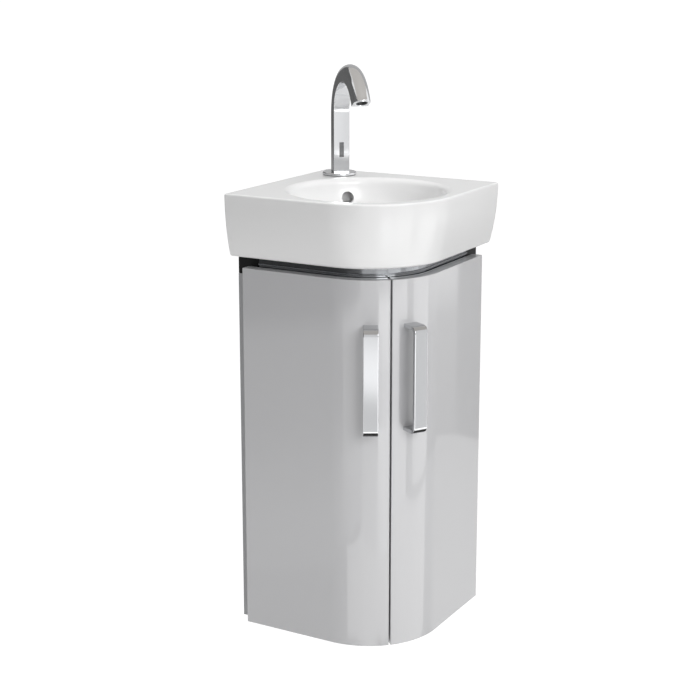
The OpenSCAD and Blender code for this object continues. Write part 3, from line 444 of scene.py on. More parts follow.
# ---- Hinges ----
# Pressed and nickel-plated steel: a cup bored into the door, a hooked arm on one pin, and a plate on the
# stile. Their screws have pan heads with a cross recess, pressed in one stroke.

HINGE_EDGE = 0.0003
SCREW_HEAD_R = 0.0035
SCREW_HEAD_H = 0.002
HEAD_SIDES = 24
RECESS_W = 0.0009
RECESS_UP = 0.6       # middle of the recess cutter, as a share of the head's height
PLATE_FACE = 0.034    # X of the plates' face
PLATE_SCREW_Z = 0.016
EAR_SCREW_Z = 0.017

# Nickel plate on pressed steel: warmer and softer than chrome, with the tool's fine lines.
nickel_steel = new_material("nickel_plated_steel", "bdbbb6", metallic=1, roughness=0.26)
add_relief(nickel_steel, grain_mm=0.6, height_mm=0.008, stretch=(1, 1, 0.2))

for side in ("left", "right"):
    for part in ("hinge_plates_", "hinge_arms_"):
        finish(soft_copy(part + side, nickel_steel, HINGE_EDGE), "cabinet", "hinge_steel", part + side)
    cups = soft_copy("hinge_cups_" + side, nickel_steel, HINGE_EDGE)
    finish(cups, side + "_door", "hinge_steel", "hinge_cups_" + side)
    dress("hinge_pins_" + side, zinc_steel)


def screw_heads_tree():
    """A pan head with a cross recess on each point, facing along the point's own direction."""
    tree = tree_with("screw_heads", {
        "Head radius": "NodeSocketFloat", "Head height": "NodeSocketFloat",
        "Recess width": "NodeSocketFloat", "Material": "NodeSocketMaterial"})
    given = add_node(tree, "NodeGroupInput").outputs
    head = add_node(tree, "GeometryNodeMeshCylinder", {
        "Vertices": HEAD_SIDES, "Radius": given["Head radius"], "Depth": given["Head height"]})
    slot_size = add_node(tree, "ShaderNodeCombineXYZ", {
        "X": given["Head radius"], "Y": given["Recess width"], "Z": given["Head height"]})
    slot = add_node(tree, "GeometryNodeMeshCube", {"Size": slot_size.outputs["Vector"]})
    depth = add_node(tree, "ShaderNodeMath", {0: given["Head height"], 1: RECESS_UP}, operation="MULTIPLY")
    lift = add_node(tree, "ShaderNodeCombineXYZ", {"Z": depth.outputs[0]})
    along = add_node(tree, "GeometryNodeTransform", {
        "Geometry": slot.outputs["Mesh"], "Translation": lift.outputs["Vector"]})
    across = add_node(tree, "GeometryNodeTransform", {
        "Geometry": along.outputs["Geometry"], "Rotation": (0, 0, math.pi / 2)})
    once = add_node(tree, "GeometryNodeMeshBoolean", {
        "Mesh 1": head.outputs["Mesh"], "Mesh 2": along.outputs["Geometry"]}, operation="DIFFERENCE")
    twice = add_node(tree, "GeometryNodeMeshBoolean", {
        "Mesh 1": once.outputs["Mesh"], "Mesh 2": across.outputs["Geometry"]}, operation="DIFFERENCE")
    way = add_node(tree, "GeometryNodeInputNamedAttribute", {"Name": "facing"}, data_type="FLOAT_VECTOR")
    turn = add_node(
        tree, "FunctionNodeAlignRotationToVector", {"Vector": way.outputs["Attribute"]}, axis="Z")
    spread = add_node(tree, "GeometryNodeInstanceOnPoints", {
        "Points": given["Geometry"], "Instance": twice.outputs["Mesh"],
        "Rotation": turn.outputs["Rotation"]})
    plain = add_node(tree, "GeometryNodeRealizeInstances", {"Geometry": spread.outputs["Instances"]})
    painted = add_node(tree, "GeometryNodeSetMaterial", {
        "Geometry": plain.outputs["Geometry"], "Material": given["Material"]})
    add_node(tree, "NodeGroupOutput", {"Geometry": painted.outputs["Geometry"]})
    return tree


def screw_row(name, seats, tree):
    """Screw heads at these seats, each a middle of the head and the way it faces."""
    mesh = bpy.data.meshes.new(name)
    mesh.from_pydata([tuple(at) for at, _ in seats], [], [])
    facing_way = mesh.attributes.new("facing", "FLOAT_VECTOR", "POINT")
    for i, (_, way) in enumerate(seats):
        facing_way.data[i].vector = way
    row = bpy.data.objects.new(name + "_seats", mesh)
    bpy.context.collection.objects.link(row)
    made = run_tree(row, tree, {
        "Head radius": SCREW_HEAD_R, "Head height": SCREW_HEAD_H,
        "Recess width": RECESS_W, "Material": zinc_steel})
    return placed(made, name, Matrix())


plate_low, plate_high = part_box("hinge_plates_left")
screws_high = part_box("hinge_screws_left")[1]
plate_mid = (plate_low.y + plate_high.y) / 2
arm_face = screws_high.x - SCREW_HEAD_H
ear_mid = cup_x + CUP_L / 2
into_room = Vector((1, 0, 0))
out_of_door = Vector((0, 1, 0))

heads = screw_heads_tree()
hinge_seats = []
cup_seats = []
for z in HINGE_Z:
    for dz in (-PLATE_SCREW_Z, PLATE_SCREW_Z):
        hinge_seats.append((Vector((PLATE_FACE + SCREW_HEAD_H / 2, plate_mid, z + dz)), into_room))
    hinge_seats.append((Vector((arm_face + SCREW_HEAD_H / 2, plate_mid, z)), into_room))
    for dz in (-EAR_SCREW_Z, EAR_SCREW_Z):
        cup_seats.append((Vector((ear_mid, -door_back - SCREW_HEAD_H / 2, z + dz)), out_of_door))
handle_seats = []
seat_r = math.sqrt((DOOR_CORNER - DOOR_T) ** 2 - SCREW_HEAD_R ** 2) - SCREW_HEAD_H / 2
for z in (handle_low.z + STRAP_T / 2, handle_high.z - STRAP_T / 2):
    seat = Vector((corner_at, -corner_at, z)) + out_of_corner * seat_r
    handle_seats.append((seat, -out_of_corner))

for name, seats, on_door in (
        ("hinge_screws", hinge_seats, False), ("cup_screws", cup_seats, True),
        ("handle_screws", handle_seats, True)):
    left_row = screw_row(name + "_left_heads", seats, heads)
    right_row = mirrored(left_row, name + "_right_heads")
    for side, row in (("left", left_row), ("right", right_row)):
        shade(row)
        finish(row, side + "_door" if on_door else "cabinet", "fastener_steel", name + "_" + side)

# ---- Door buffers ----
# Small clear domes of soft polyurethane, stuck inside the doors, that meet the cabinet's edges.

# Clear polyurethane: milky and rubbery, with light passing into it.
clear_buffer = new_material(
    "clear_polyurethane", "d9d8d2", roughness=0.35, transmission_weight=0.5, ior=1.48)
for side in ("left", "right"):
    dress("door_buffers_" + side, clear_buffer)

# ---- Trim band and end blocks ----
# An anodised aluminium strip in the shadow gap under the basin. It is rolled round the corner with a
# bead above the doors, and ends in a moulded black block at each wall.

BAND_T = 0.002
BEAD_H = 0.0025
BEAD_OUT = 0.0025
BEAD_UP = 0.003       # gap between the doors' top and the bead
FOOT_W = 0.017        # flange under the basin
BEAD_STEP = 15
BLOCK_EDGE = 0.001

band_low, band_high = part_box("trim_band")
front_reach = band_high.x - BEAD_OUT
band_h = band_high.z - band_low.z
bead_low = door_high.z + BEAD_UP - band_low.z
block_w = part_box("end_block_left")[1].x


def swept_section_tree():
    """Any flat section, swept along a flat path and closed at its ends."""
    tree = tree_with("swept_section", {"Section": "NodeSocketObject", "Material": "NodeSocketMaterial"})
    given = add_node(tree, "NodeGroupInput").outputs
    section = add_node(tree, "GeometryNodeObjectInfo", {"Object": given["Section"]})
    swept = add_node(tree, "GeometryNodeCurveToMesh", {
        "Curve": given["Geometry"], "Profile Curve": section.outputs["Geometry"], "Fill Caps": True})
    plain = add_node(tree, "GeometryNodeRealizeInstances", {"Geometry": swept.outputs["Mesh"]})
    painted = add_node(tree, "GeometryNodeSetMaterial", {
        "Geometry": plain.outputs["Geometry"], "Material": given["Material"]})
    add_node(tree, "NodeGroupOutput", {"Geometry": painted.outputs["Geometry"]})
    return tree


def band_section():
    """Section of the strip, X outwards and Y downwards: foot, wall and the bead on its face."""
    bead_mid = (BEAD_OUT - BEAD_H / 2, -bead_low - BEAD_H / 2)
    return (
        [(0, 0), (0, -bead_low)]
        + arc(bead_mid, BEAD_H / 2, 90, -90, BEAD_STEP)
        + [(0, -bead_low - BEAD_H), (0, -band_h), (-BAND_T, -band_h), (-BAND_T, -BAND_T),
           (-FOOT_W, -BAND_T), (-FOOT_W, 0)])


# Anodised aluminium, drawn through a die and brushed along its length: soft streaked reflections.
anodised_strip = new_material("anodised_aluminium", "8d8f92", metallic=1, roughness=0.14)
add_relief(anodised_strip, grain_mm=0.5, height_mm=0.006, stretch=(0.1, 0.1, 1))

sweep = swept_section_tree()
band_path = (
    [(block_w, -front_reach)]
    + arc((corner_at, -corner_at), front_reach - corner_at, 270, 360, ARC_STEP)
    + [(front_reach, -block_w)])
section = poly_curve("band_section", band_section(), closed=True)
band = run_tree(
    poly_curve("band_path", band_path), sweep, {"Section": section, "Material": anodised_strip})
bpy.data.objects.remove(section)
band = placed(band, "trim_strip", Matrix.Translation((0, 0, band_low.z)))
shade(band)
finish(band, "cabinet", "trim_aluminium", "trim_band")

# Moulded ABS in black: an even satin black with a very fine spark-eroded grain.
black_abs = new_material("moulded_black_abs", "101011", roughness=0.55, specular_ior_level=0.25)
add_relief(black_abs, grain_mm=0.5, height_mm=0.02)
for side in ("left", "right"):
    end_block = soft_copy("end_block_" + side, black_abs, BLOCK_EDGE)
    finish(end_block, "cabinet", "black_plastic", "end_block_" + side)

# ---- Basin ----
# Fine fireclay, slip-cast in one piece and glazed white all over: a flat deck, a round bowl under a
# rolled rim, an overflow with its duct behind the bowl, and a hollow underside with a flat foot.

BASIN_CORNER = 0.135
FRONT_SWEEP = 0.360   # radius in which the fronts lean in downwards
FOOT_R = 0.005
TOP_R = 0.003
WALL_EDGE = 0.003
EDGE_STEP = 15        # degrees
FRONT_LAND = 0.024    # deck between the bowl and the fronts
TAP_LAND = 0.0474     # from the tap's axis to the bowl
TAP_OUT = 0.0718      # from the room's corner to the tap's axis
BOWL_FLOOR = 0.0205
BOWL_BEND = 0.070
RIM_ROLL = 0.010
SHELL_T = 0.009
DECK_T = 0.012
FOOT_IN = 0.063       # from the fronts to the hollow, at the foot
BOSS_R = 0.035        # clay round the drain
OVERFLOW_R = 0.010
OVERFLOW_DROP = 0.031
DUCT_SIDE = 0.004
DRAIN_R = 0.0225
BOLT_R = 0.006
BOLT_DEEP = 0.02
BOLT_OUT = 0.105
BOLT_UP = 0.055
BOWL_TURNS = 160
SIDE_STEPS = 10
TINY = 0.001          # how far a cutter reaches past what it cuts

basin_low, basin_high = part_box("basin")
basin_z = basin_low.z
basin_h = basin_high.z - basin_z
basin_reach = basin_high.x
bowl_span = (basin_reach - FRONT_LAND) * math.sqrt(2) - TAP_OUT - TAP_LAND
bowl_r = bowl_span / (1 + math.sqrt(2))
bowl_at = basin_reach - FRONT_LAND - bowl_r
rim_out = bowl_r + RIM_ROLL
bend_z = BOWL_FLOOR + BOWL_BEND
rim_z = basin_h - RIM_ROLL
bend_in = rim_out - math.sqrt((BOWL_BEND + RIM_ROLL) ** 2 - (rim_z - bend_z) ** 2)
to_diagonal = Matrix.Rotation(-math.pi / 4, 4, "Z")
on_diagonal = Vector((math.cos(math.pi / 4), -math.sin(math.pi / 4), 0))


def front_section():
    """Levels of the basin's outside: height, how far the fronts reach, how far the walls draw in."""
    sweep_at = basin_reach - FRONT_SWEEP
    foot_at = sweep_at + math.sqrt((FRONT_SWEEP - FOOT_R) ** 2 - (basin_h - FOOT_R) ** 2)
    tangent = math.degrees(math.atan2(FOOT_R - basin_h, foot_at - sweep_at))
    top_start = -math.degrees(math.asin(TOP_R / FRONT_SWEEP))
    levels = []
    for x, z in arc((foot_at, FOOT_R), FOOT_R, -90, tangent, 12):
        levels.append((z, x, TINY * (1 - z / FOOT_R) if z < FOOT_R else 0))
    for x, z in arc((sweep_at, basin_h), FRONT_SWEEP, tangent, top_start, 1)[1:]:
        levels.append((z, x, 0))
    for x, z in arc((basin_reach - TOP_R, basin_h - TOP_R), TOP_R, 0, 90, EDGE_STEP)[1:]:
        levels.append((z, x, basin_reach - x))
    return levels


def evenly(start, end):
    """Points between two ends, without the ends."""
    return [tuple(Vector(start).lerp(Vector(end), i / SIDE_STEPS)) for i in range(1, SIDE_STEPS)]


def basin_contour(reach, inset):
    """Plan of one level: two walls, two fronts, the round front corner and small wall-side corners."""
    edge = WALL_EDGE
    round_at = basin_reach - BASIN_CORNER
    return (
        arc((inset + edge, -inset - edge), edge, 90, 180, EDGE_STEP)
        + evenly((inset, -inset - edge), (inset, -reach + edge))
        + arc((inset + edge, -reach + edge), edge, 180, 270, EDGE_STEP)
        + evenly((inset + edge, -reach), (round_at, -reach))
        + arc((round_at, -round_at), reach - round_at, 270, 360)
        + evenly((reach, -round_at), (reach, -inset - edge))
        + arc((reach - edge, -inset - edge), edge, 0, 90, EDGE_STEP)
        + evenly((reach - edge, -inset), (inset + edge, -inset)))


def join_rings(built, lower, upper):
    """Quads between two rings of as many points."""
    for i in range(len(lower)):
        j = (i + 1) % len(lower)
        built.faces.new((lower[i], lower[j], upper[j], upper[i]))


def ring_of(built, centre, radius, z, count):
    """Vertices on a level circle."""
    turns = [2 * math.pi * i / count for i in range(count)]
    return [built.verts.new((centre[0] + radius * math.cos(t), centre[1] + radius * math.sin(t), z))
            for t in turns]


def bowl_profile():
    """Inside of the bowl from the deck down to the middle of its floor, as distance and height."""
    meet = math.degrees(math.atan2(rim_z - bend_z, rim_out - bend_in))
    roll = arc((rim_out, rim_z), RIM_ROLL, 90, 180 + meet, 9)
    bend = arc((bend_in, bend_z), BOWL_BEND, meet, -90, 4)
    return roll + bend[1:]


def basin_body():
    """Closed solid of deck, fronts, bowl and a flat bottom."""
    built = bmesh.new()
    rings = []
    for z, reach, inset in front_section():
        rings.append([built.verts.new((x, y, z)) for x, y in basin_contour(reach, inset)])
    for lower, upper in zip(rings, rings[1:]):
        join_rings(built, lower, upper)
    built.faces.new(rings[0])
    circles = [ring_of(built, (bowl_at, -bowl_at), r, z, BOWL_TURNS) for r, z in bowl_profile()]
    for upper, lower in zip(circles, circles[1:]):
        join_rings(built, upper, lower)
    built.faces.new(circles[-1])
    rim_edges = [e for e in built.edges if e.is_boundary and e.verts[0].co.z > basin_h - TINY / 10]
    bmesh.ops.triangle_fill(built, edges=rim_edges, use_beauty=True)
    return built


def turned(profile, centre, count=64):
    """A closed solid turned from a half section that starts and ends on its upright axis."""
    built = bmesh.new()
    rings = []
    for r, z in profile:
        rings.append(
            ring_of(built, centre, r, z, count) if r else [built.verts.new((centre[0], centre[1], z))])
    for lower, upper in zip(rings, rings[1:]):
        if len(lower) == 1 or len(upper) == 1:
            tip, ring = (lower, upper) if len(lower) == 1 else (upper, lower)
            for i in range(count):
                built.faces.new((tip[0], ring[i], ring[(i + 1) % count]))
        else:
            join_rings(built, lower, upper)
    return built


def inner_plan(reach):
    """Plan of the hollow under the deck, inside the walls and fronts."""
    round_at = basin_reach - BASIN_CORNER
    return (
        [(DECK_T, -DECK_T), (DECK_T, -reach)]
        + arc((round_at, -round_at), reach - round_at, 270, 360, 3)
        + [(reach, -DECK_T)])


def duct(grow):
    """The overflow duct behind and under the bowl, or its outside when grown."""
    out = bowl_at * math.sqrt(2)
    back = out - bowl_r - 2 * SHELL_T
    half = OVERFLOW_R + DUCT_SIDE + grow / 2
    top = basin_h - OVERFLOW_DROP + OVERFLOW_R
    start = (back - grow / 2, -half, SHELL_T / 2 - grow / 2)
    upright_box = block(start, (back + 2 * SHELL_T, half, top))
    flat_box = block(start, (out, half, 1.5 * SHELL_T))
    for box in (upright_box, flat_box):
        box.transform(to_diagonal)
    return upright_box, flat_box


def hollow():
    """What is open under the deck: the space inside the walls, less the bowl's shell, boss and duct."""
    foot_hole = prism(inner_plan(basin_reach - FOOT_IN), -TINY, DECK_T + TINY)
    space = new_piece("hollow", foot_hole, white_glaze)
    cut(space, [prism(inner_plan(basin_reach - 2 * DECK_T), DECK_T, basin_h - DECK_T)], operation="UNION")
    shell_r = BOWL_BEND + SHELL_T
    shell = [(0, BOWL_FLOOR - SHELL_T)] + arc((bend_in, bend_z), shell_r, -90, 0, 4) + [
        (bend_in + shell_r, basin_h), (0, basin_h)]
    boss = [(0, -2 * TINY), (BOSS_R, -2 * TINY), (BOSS_R, BOWL_FLOOR), (0, BOWL_FLOOR)]
    cut(space, [turned(shell, (bowl_at, -bowl_at), 96), turned(boss, (bowl_at, -bowl_at)), *duct(SHELL_T)])
    return space


def overflow_tool():
    """The round overflow hole through the bowl's wall."""
    wall = bowl_at * math.sqrt(2) - bowl_r
    start = wall - 1.5 * SHELL_T
    end = wall + 3 * SHELL_T
    profile = [(0, start), (OVERFLOW_R, start), (OVERFLOW_R, end), (0, end)]
    tool = turned(profile, (0, 0), 48)
    lie_down = to_diagonal @ Matrix.Rotation(math.pi / 2, 4, "Y")
    tool.transform(Matrix.Translation((0, 0, basin_h - OVERFLOW_DROP)) @ lie_down)
    return tool


def bolt_tools():
    """The holes for the two wall bolts."""
    for turn, at in (
            (Matrix.Rotation(math.pi / 2, 4, "Y"), (0, -BOLT_OUT, BOLT_UP)),
            (Matrix.Rotation(math.pi / 2, 4, "X"), (BOLT_OUT, 0, BOLT_UP))):
        profile = [(0, -BOLT_DEEP), (BOLT_R, -BOLT_DEEP), (BOLT_R, BOLT_DEEP), (0, BOLT_DEEP)]
        tool = turned(profile, (0, 0), 32)
        tool.transform(Matrix.Translation(at) @ turn)
        yield tool


# Vitreous glaze on fine fireclay: bright white, glassy and smooth, with the slight long waves of a fired
# glaze in its reflections.
white_glaze = new_material(
    "glazed_fireclay", "f1f1f1", roughness=0.28, ior=1.52, coat_weight=0.6, coat_roughness=0.14)
add_relief(white_glaze, grain_mm=45, height_mm=0.05, detail=1)

basin = new_piece("basin_glazed", basin_body(), white_glaze)
under = hollow()
under_built = bmesh.new()
under_built.from_mesh(under.data)
bpy.data.objects.remove(under)
drain_top = BOWL_FLOOR + TINY
drain = turned(
    [(0, -TINY), (DRAIN_R, -TINY), (DRAIN_R, drain_top), (0, drain_top)], (bowl_at, -bowl_at))
cut(basin, [under_built, drain, overflow_tool(), *duct(0), *bolt_tools()])
basin.data.transform(Matrix.Translation((0, 0, basin_z)))
shade(basin)
finish(basin, "cabinet", "glazed_basin", "basin")

# ---- Tap ----
# A sensor tap cast in brass, polished and chromed: a D-shaped column with a flat front that runs over into
# the arch and spout. A dark window for the sensor is let in flush, and an aerator sits in the spout's end.

TAP_W = 0.027
TAP_D = 0.028
TAP_EDGE = 0.0012
ARCH_R = 0.070
ARCH_TURN = 155.5     # degrees from the column to the spout's end
ARCH_STEPS = 55
ARCH_Z = 0.094        # where the column goes over into the arch
SPOUT_EDGE = 0.0008
AERATOR_R = 0.0105
AERATOR_H = 0.009
WINDOW_W = 0.0075
WINDOW_T = 0.0015

tap_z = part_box("tap_body")[0].z


def tap_section():
    """D-shaped section, X towards the inside of the arch: flat front with soft edges, round back."""
    front = TAP_D / 2
    half = TAP_W / 2
    round_at = front - (TAP_D - half)
    e = TAP_EDGE
    return (
        arc((front - e, -half + e), e, -90, 0, EDGE_STEP)
        + arc((front - e, half - e), e, 0, 90, EDGE_STEP)
        + arc((round_at, 0), half, 90, 270, 6))


def tap_path():
    """Up the column and round the arch, X upwards and Y away from the spout."""
    turns = [math.radians(ARCH_TURN * i / ARCH_STEPS) for i in range(ARCH_STEPS + 1)]
    arch = [(ARCH_Z + ARCH_R * math.sin(t), -ARCH_R + ARCH_R * math.cos(t)) for t in turns]
    return [(0, 0)] + arch


# Bright chrome over nickel: a near-white mirror whose greys are what stands around it.
polished_chrome = new_material("polished_chrome", "dfe0e2", metallic=1, roughness=0.1)
add_relief(polished_chrome, grain_mm=25, height_mm=0.004, detail=1)

tap_foot = on_diagonal * TAP_OUT + Vector((0, 0, tap_z))
side_way = Vector((0, 0, 1)).cross(-on_diagonal)
tap_stand = Matrix((
    (0, -on_diagonal.x, side_way.x, tap_foot.x),
    (0, -on_diagonal.y, side_way.y, tap_foot.y),
    (1, 0, 0, tap_foot.z),
    (0, 0, 0, 1)))
section = poly_curve("tap_section", tap_section(), closed=True)
tap = run_tree(poly_curve("tap_path", tap_path()), sweep, {"Section": section, "Material": polished_chrome})
bpy.data.objects.remove(section)
tap = placed(tap, "tap_casting", tap_stand)
soften(tap, SPOUT_EDGE, angle=60)


def outlet_place():
    """Z along the water's way out of the spout's end."""
    turn = math.radians(ARCH_TURN)
    middle = on_diagonal * (TAP_OUT + ARCH_R - ARCH_R * math.cos(turn))
    middle.z = tap_z + ARCH_Z + ARCH_R * math.sin(turn)
    way = on_diagonal * math.sin(turn) + Vector((0, 0, math.cos(turn)))
    return Matrix.Translation(middle) @ way.to_track_quat("Z", "Y").to_matrix().to_4x4()


mouth = turned([(0, -AERATOR_H), (AERATOR_R, -AERATOR_H), (AERATOR_R, TINY), (0, TINY)], (0, 0), 48)
mouth.transform(outlet_place())
window_low, window_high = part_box("sensor_window")
window = block((-WINDOW_T, -WINDOW_W / 2, window_low.z), (TINY, WINDOW_W / 2, window_high.z))
tap_front = Matrix.Translation(on_diagonal * (TAP_OUT + TAP_D / 2))
window.transform(tap_front @ to_diagonal)
cut(tap, [mouth, window])
shade(tap)
finish(tap, "cabinet", "chrome_tap", "tap_body")
dress("tap_base_ring", polished_chrome)
dress("aerator_housing", polished_chrome)

# Infrared window of the sensor: tinted polycarbonate, smooth and glossy.
sensor_window = new_material("tinted_polycarbonate", "646567", roughness=0.12, coat_weight=1.0)
dress("sensor_window", sensor_window)
dress("aerator_jet", black_abs)

# Nickel-plated brass, turned: a warm grey metal with fine rings from the lathe.
nickel_brass = new_material("nickel_plated_brass", "c2bcae", metallic=1, roughness=0.28)
add_relief(nickel_brass, grain_mm=0.6, height_mm=0.01, stretch=(1, 1, 4))
for part in ("tap_shank", "shank_nut", "inlet_nipple"):
    dress(part, nickel_brass)
dress("shank_washer", zinc_steel)

# Moulded rubber: matt black with a dusty grain.
black_rubber = new_material("moulded_rubber", "1c1c1c", roughness=0.8)
add_relief(black_rubber, grain_mm=0.4, height_mm=0.03)
dress("tap_gasket", black_rubber)

# ---- Waste and trap ----
# A slotted waste clamped through the bowl's floor by a ring nut, and a chromed brass bottle trap whose
# outlet pipe runs into the right wall behind a thin rosette.

NUT_EDGE = 0.0006

for part in (
        "waste_flange", "waste_grid", "trap_dip_pipe", "trap_head", "trap_cup", "outlet_pipe",
        "wall_rosette"):
    dress(part, polished_chrome)
for part in ("trap_inlet_nut", "trap_outlet_nut"):
    finish(soft_copy(part, polished_chrome, NUT_EDGE), "cabinet", "chrome_waste", part)
finish(soft_copy("waste_ring_nut", nickel_brass, NUT_EDGE), "cabinet", "brass_nickel", "waste_ring_nut")
dress("waste_tail", nickel_brass)
dress("waste_seal", black_rubber)

# ---- Floor, light and camera ----
# A plain pale studio: a white floor below the hung unit, a white surround and two soft lamps, one at the
# right and one above. Cards that show in reflections only stand for the bright and dark things of a real
# studio, so that the chrome, the lacquer and the glaze have something to mirror.

FLOOR_Z = -0.5
FLOOR_HALF = 60
FLOOR_GLOW = 0.92     # the floor as it is seen: most of its white is glow, and the rest takes the shadow
FLOOR_SHADE = 0.2
PAINT = 0.85          # the floor as the light meets it
AMBIENT = 0.385       # the surround's light on the unit
CARD_T = 0.01
CARD_TOP = 2.7        # height of the ceiling card
UNIT_MIDDLE = (0.15, -0.15, 0.4)
GLOW_TOP = 4          # a curve node holds 0 to 1, so a card's glow is stored as a share of this


def seen_directly(material):
    """1 for camera, glossy and transmission rays, 0 for the light that falls on things."""
    rays = add_node(material, "ShaderNodeLightPath").outputs
    seen = rays["Is Camera Ray"]
    for ray in ("Is Glossy Ray", "Is Transmission Ray"):
        seen = add_node(material, "ShaderNodeMath", {0: seen, 1: rays[ray]}, operation="MAXIMUM").outputs[0]
    return seen


# Painted studio floor: white where it is seen, with the unit's soft shadow still on it.
floor_paint = new_material("white_studio_floor", "ffffff", roughness=0.9, emission_color=(1, 1, 1, 1))
floor_shader = floor_paint.node_tree.nodes["Principled BSDF"]
seen = seen_directly(floor_paint)
share = add_node(
    floor_paint, "ShaderNodeMapRange", {"Value": seen, "To Min": PAINT, "To Max": FLOOR_SHADE})
glow = add_node(floor_paint, "ShaderNodeMapRange", {"Value": seen, "To Max": FLOOR_GLOW})
floor_paint.node_tree.links.new(share.outputs["Result"], floor_shader.inputs["Base Color"])
floor_paint.node_tree.links.new(glow.outputs["Result"], floor_shader.inputs["Emission Strength"])
new_piece(
    "studio_floor",
    block((-FLOOR_HALF, -FLOOR_HALF, FLOOR_Z - CARD_T), (FLOOR_HALF, FLOOR_HALF, FLOOR_Z)), floor_paint)

world = bpy.data.worlds.new("white_surround")
bpy.context.scene.world = world
world.use_nodes = True
level = add_node(
    world, "ShaderNodeMapRange", {"Value": seen_directly(world), "To Min": AMBIENT, "To Max": 1})
background = world.node_tree.nodes["Background"]
background.inputs["Color"].default_value = (1, 1, 1, 1)
world.node_tree.links.new(level.outputs["Result"], background.inputs["Strength"])


def mirrored_only(card):
    """A card that shows in reflections only: it neither hides nor shades the unit."""
    for rays in ("camera", "diffuse", "shadow"):
        setattr(card, "visible_" + rays, False)


def grey_card(name, start, end, levels):
    """An upright card between two points in plan, whose glow in reflections follows levels by height."""
    top = levels[-1][0]
    paper = new_material(name + "_paper", "404040", roughness=0.9, emission_strength=1)
    place = add_node(paper, "ShaderNodeTexCoord")
    parts = add_node(paper, "ShaderNodeSeparateXYZ", {"Vector": place.outputs["Object"]})
    height = add_node(paper, "ShaderNodeMapRange", {
        "Value": parts.outputs["Z"], "From Min": FLOOR_Z, "From Max": top})
    curve = add_node(paper, "ShaderNodeFloatCurve", {"Value": height.outputs["Result"]})
    points = curve.mapping.curves[0].points
    stops = [((z - FLOOR_Z) / (top - FLOOR_Z), glow / GLOW_TOP) for z, glow in levels]
    for i, (at, glow) in enumerate([stops[0], stops[-1]] + stops[1:-1]):
        point = points[i] if i < 2 else points.new(at, glow)
        point.location = (at, glow)
    for point in points:
        point.handle_type = "VECTOR"
    curve.mapping.update()
    glow = add_node(paper, "ShaderNodeMath", {0: curve.outputs["Value"], 1: GLOW_TOP}, operation="MULTIPLY")
    shader = paper.node_tree.nodes["Principled BSDF"]
    shader.inputs["Emission Color"].default_value = linear("ffffff")
    paper.node_tree.links.new(glow.outputs[0], shader.inputs["Emission Strength"])
    run = Vector(end) - Vector(start)
    side = Vector((-run.y, run.x)).normalized() * CARD_T
    corners = [Vector(start), Vector(end), Vector(end) + side, Vector(start) + side]
    mirrored_only(new_piece(name, prism([tuple(c) for c in corners], FLOOR_Z, top), paper))


# Round the unit from the left, each card with its stops of height and glow. The dark bands at 0.2 to 0.5
# are what the trim strip shows, and the bright ones below 0.15 are the long highlights beside the seam.
for name, start, end, levels in (
        ("rear_left_card", (-1.7, 1.3), (-2.3, -0.3), (
            (FLOOR_Z, 0.35), (0.35, 0.35), (0.5, 0.08), (2.2, 0.08))),
        ("left_card", (-2.3, -0.3), (-0.1, -2.0), (
            (FLOOR_Z, 1.2), (-0.35, 1.2), (-0.1, 0.7), (0.11, 0.62), (0.18, 0.02), (0.45, 0.02),
            (0.55, 0.1), (1.6, 0.1))),
        ("front_card", (-0.1, -2.0), (0.75, -2.1), (
            (FLOOR_Z, 1.4), (0.1, 1.4), (0.16, 0.02), (0.34, 0.02), (0.42, 0.3), (1.6, 0.3))),
        ("near_card", (0.8, -2.0), (1.33, -1.44), (
            (FLOOR_Z, 1.8), (-0.35, 1.7), (-0.22, 1.6), (-0.17, 0.9), (-0.08, 0.85), (-0.03, 1.7),
            (0.06, 1.5), (0.14, 0.9), (0.25, 1.1), (0.6, 0.95))),
        ("strip_card", (1.33, -1.44), (1.67, -1.1), (
            (FLOOR_Z, 2.5), (0, 2.8), (0.05, 3.4), (0.17, 3.4), (0.24, 1), (0.6, 0.8))),
        ("bright_card", (1.95, -1.15), (2.36, -0.36), (
            (FLOOR_Z, 2.3), (-0.05, 2.3), (0.03, 2.6), (0.13, 2.6), (0.2, 1.1), (0.42, 0.8),
            (0.9, 0.8))),
        ("handle_card", (2.36, -0.36), (2.42, 0.06), (
            (FLOOR_Z, 0.95), (0.25, 0.95), (0.3, 1), (0.6, 1))),
        ("side_card", (2.42, 0.06), (2.2, 1.2), (
            (FLOOR_Z, 2.1), (-0.1, 2.1), (0, 2.4), (0.13, 2.4), (0.17, 0.1), (0.2, 0.1), (0.24, 1),
            (0.9, 1))),
        ("right_card", (2.2, 1.2), (1.4, 2.2), (
            (FLOOR_Z, 0.6), (-0.1, 0.8), (0, 1.4), (0.12, 1.8), (0.15, 0.02), (0.19, 0.02),
            (0.24, 1.3), (2.6, 1))),
        ("back_card", (1.4, 2.2), (-1.7, 1.3), ((FLOOR_Z, 0.43), (2.6, 0.43)))):
    grey_card(name, start, end, levels)

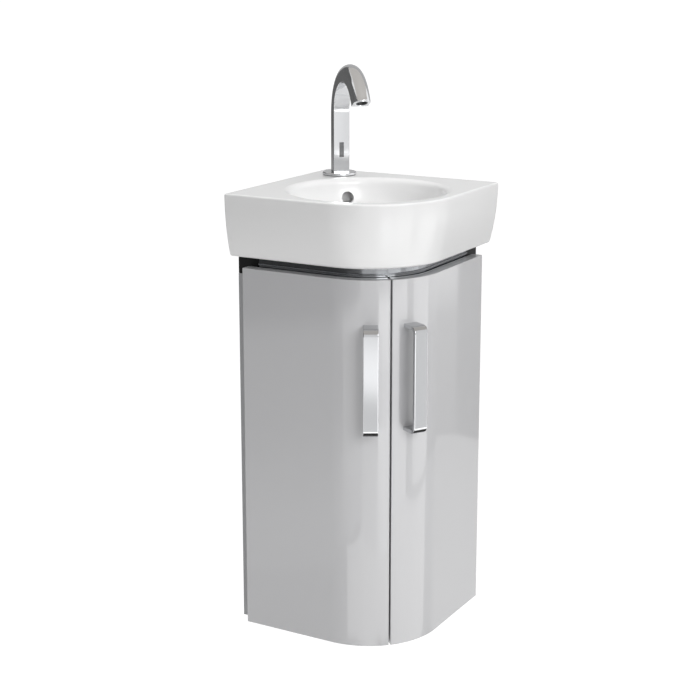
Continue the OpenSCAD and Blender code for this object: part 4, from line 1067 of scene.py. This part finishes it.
# Two cards lie on the floor: a dark one near the unit, which the handles' lower bends show, and a lit one
# further out, which carries the doors' highlights down to their lower edge. The last hangs above.
dark_paper = new_material("dark_floor_card", "3a3836", roughness=0.9)
mirrored_only(new_piece(
    "floor_card", block((-0.5, -1.05, FLOOR_Z), (1.05, 0.6, FLOOR_Z + CARD_T)), dark_paper))
lit_paper = new_material(
    "lit_floor_card", "9a9894", roughness=0.9, emission_color=(1, 1, 1, 1), emission_strength=1.9)
lit_plan = [
    (0.15, -1.4), (0.1, -1.95), (0.8, -1.95), (1.33, -1.4), (1.95, -1.1), (2.3, -0.36), (2.1, 1.05),
    (1.25, 0.4), (1.25, -0.83), (0.45, -1.38)]
mirrored_only(new_piece("lit_floor_card", prism(lit_plan, FLOOR_Z, FLOOR_Z + CARD_T), lit_paper))
ceiling_paper = new_material(
    "warm_ceiling_card", "9a9894", roughness=0.9, emission_color=linear("c8c4bf"), emission_strength=0.75)
mirrored_only(new_piece(
    "ceiling_card", block((-2.5, -3.5, CARD_TOP), (3, 2.4, CARD_TOP + CARD_T)), ceiling_paper))


def soft_lamp(name, place, size, watts, mirrored=True):
    """A large square lamp, turned to the unit's middle, that shows in reflections or not."""
    light = bpy.data.lights.new(name, "AREA")
    light.size = size
    light.energy = watts
    lamp = bpy.data.objects.new(name, light)
    way = Vector(UNIT_MIDDLE) - Vector(place)
    lamp.matrix_world = Matrix.Translation(place) @ way.to_track_quat("-Z", "Y").to_matrix().to_4x4()
    lamp.visible_glossy = mirrored
    bpy.context.collection.objects.link(lamp)


soft_lamp("key_lamp", (2.15, -1.4, 1.5), 1.4, 28)
soft_lamp("top_lamp", (0.1, 0.1, 2.4), 1.6, 22, mirrored=False)

# The camera that fits the edges of the basin, the doors and the handles best; its lens is in pixels.
CAMERA_PLACE = (1.330, -2.266, 1.066)
CAMERA_YAW = 29.62
CAMERA_PITCH = 12.80
FOCAL_PX = 1578
FRAME_PX = 700
SHIFT_PX = -50
view = bpy.data.cameras.new("photo_view")
view.lens = view.sensor_width * FOCAL_PX / FRAME_PX
view.shift_y = SHIFT_PX / FRAME_PX
view.clip_end = FLOOR_HALF
camera = bpy.data.objects.new("photo_view", view)
camera.location = CAMERA_PLACE
camera.rotation_euler = (math.radians(90 - CAMERA_PITCH), 0, math.radians(CAMERA_YAW))
bpy.context.collection.objects.link(camera)
bpy.context.scene.camera = camera
bpy.context.scene.view_settings.view_transform = "Standard"
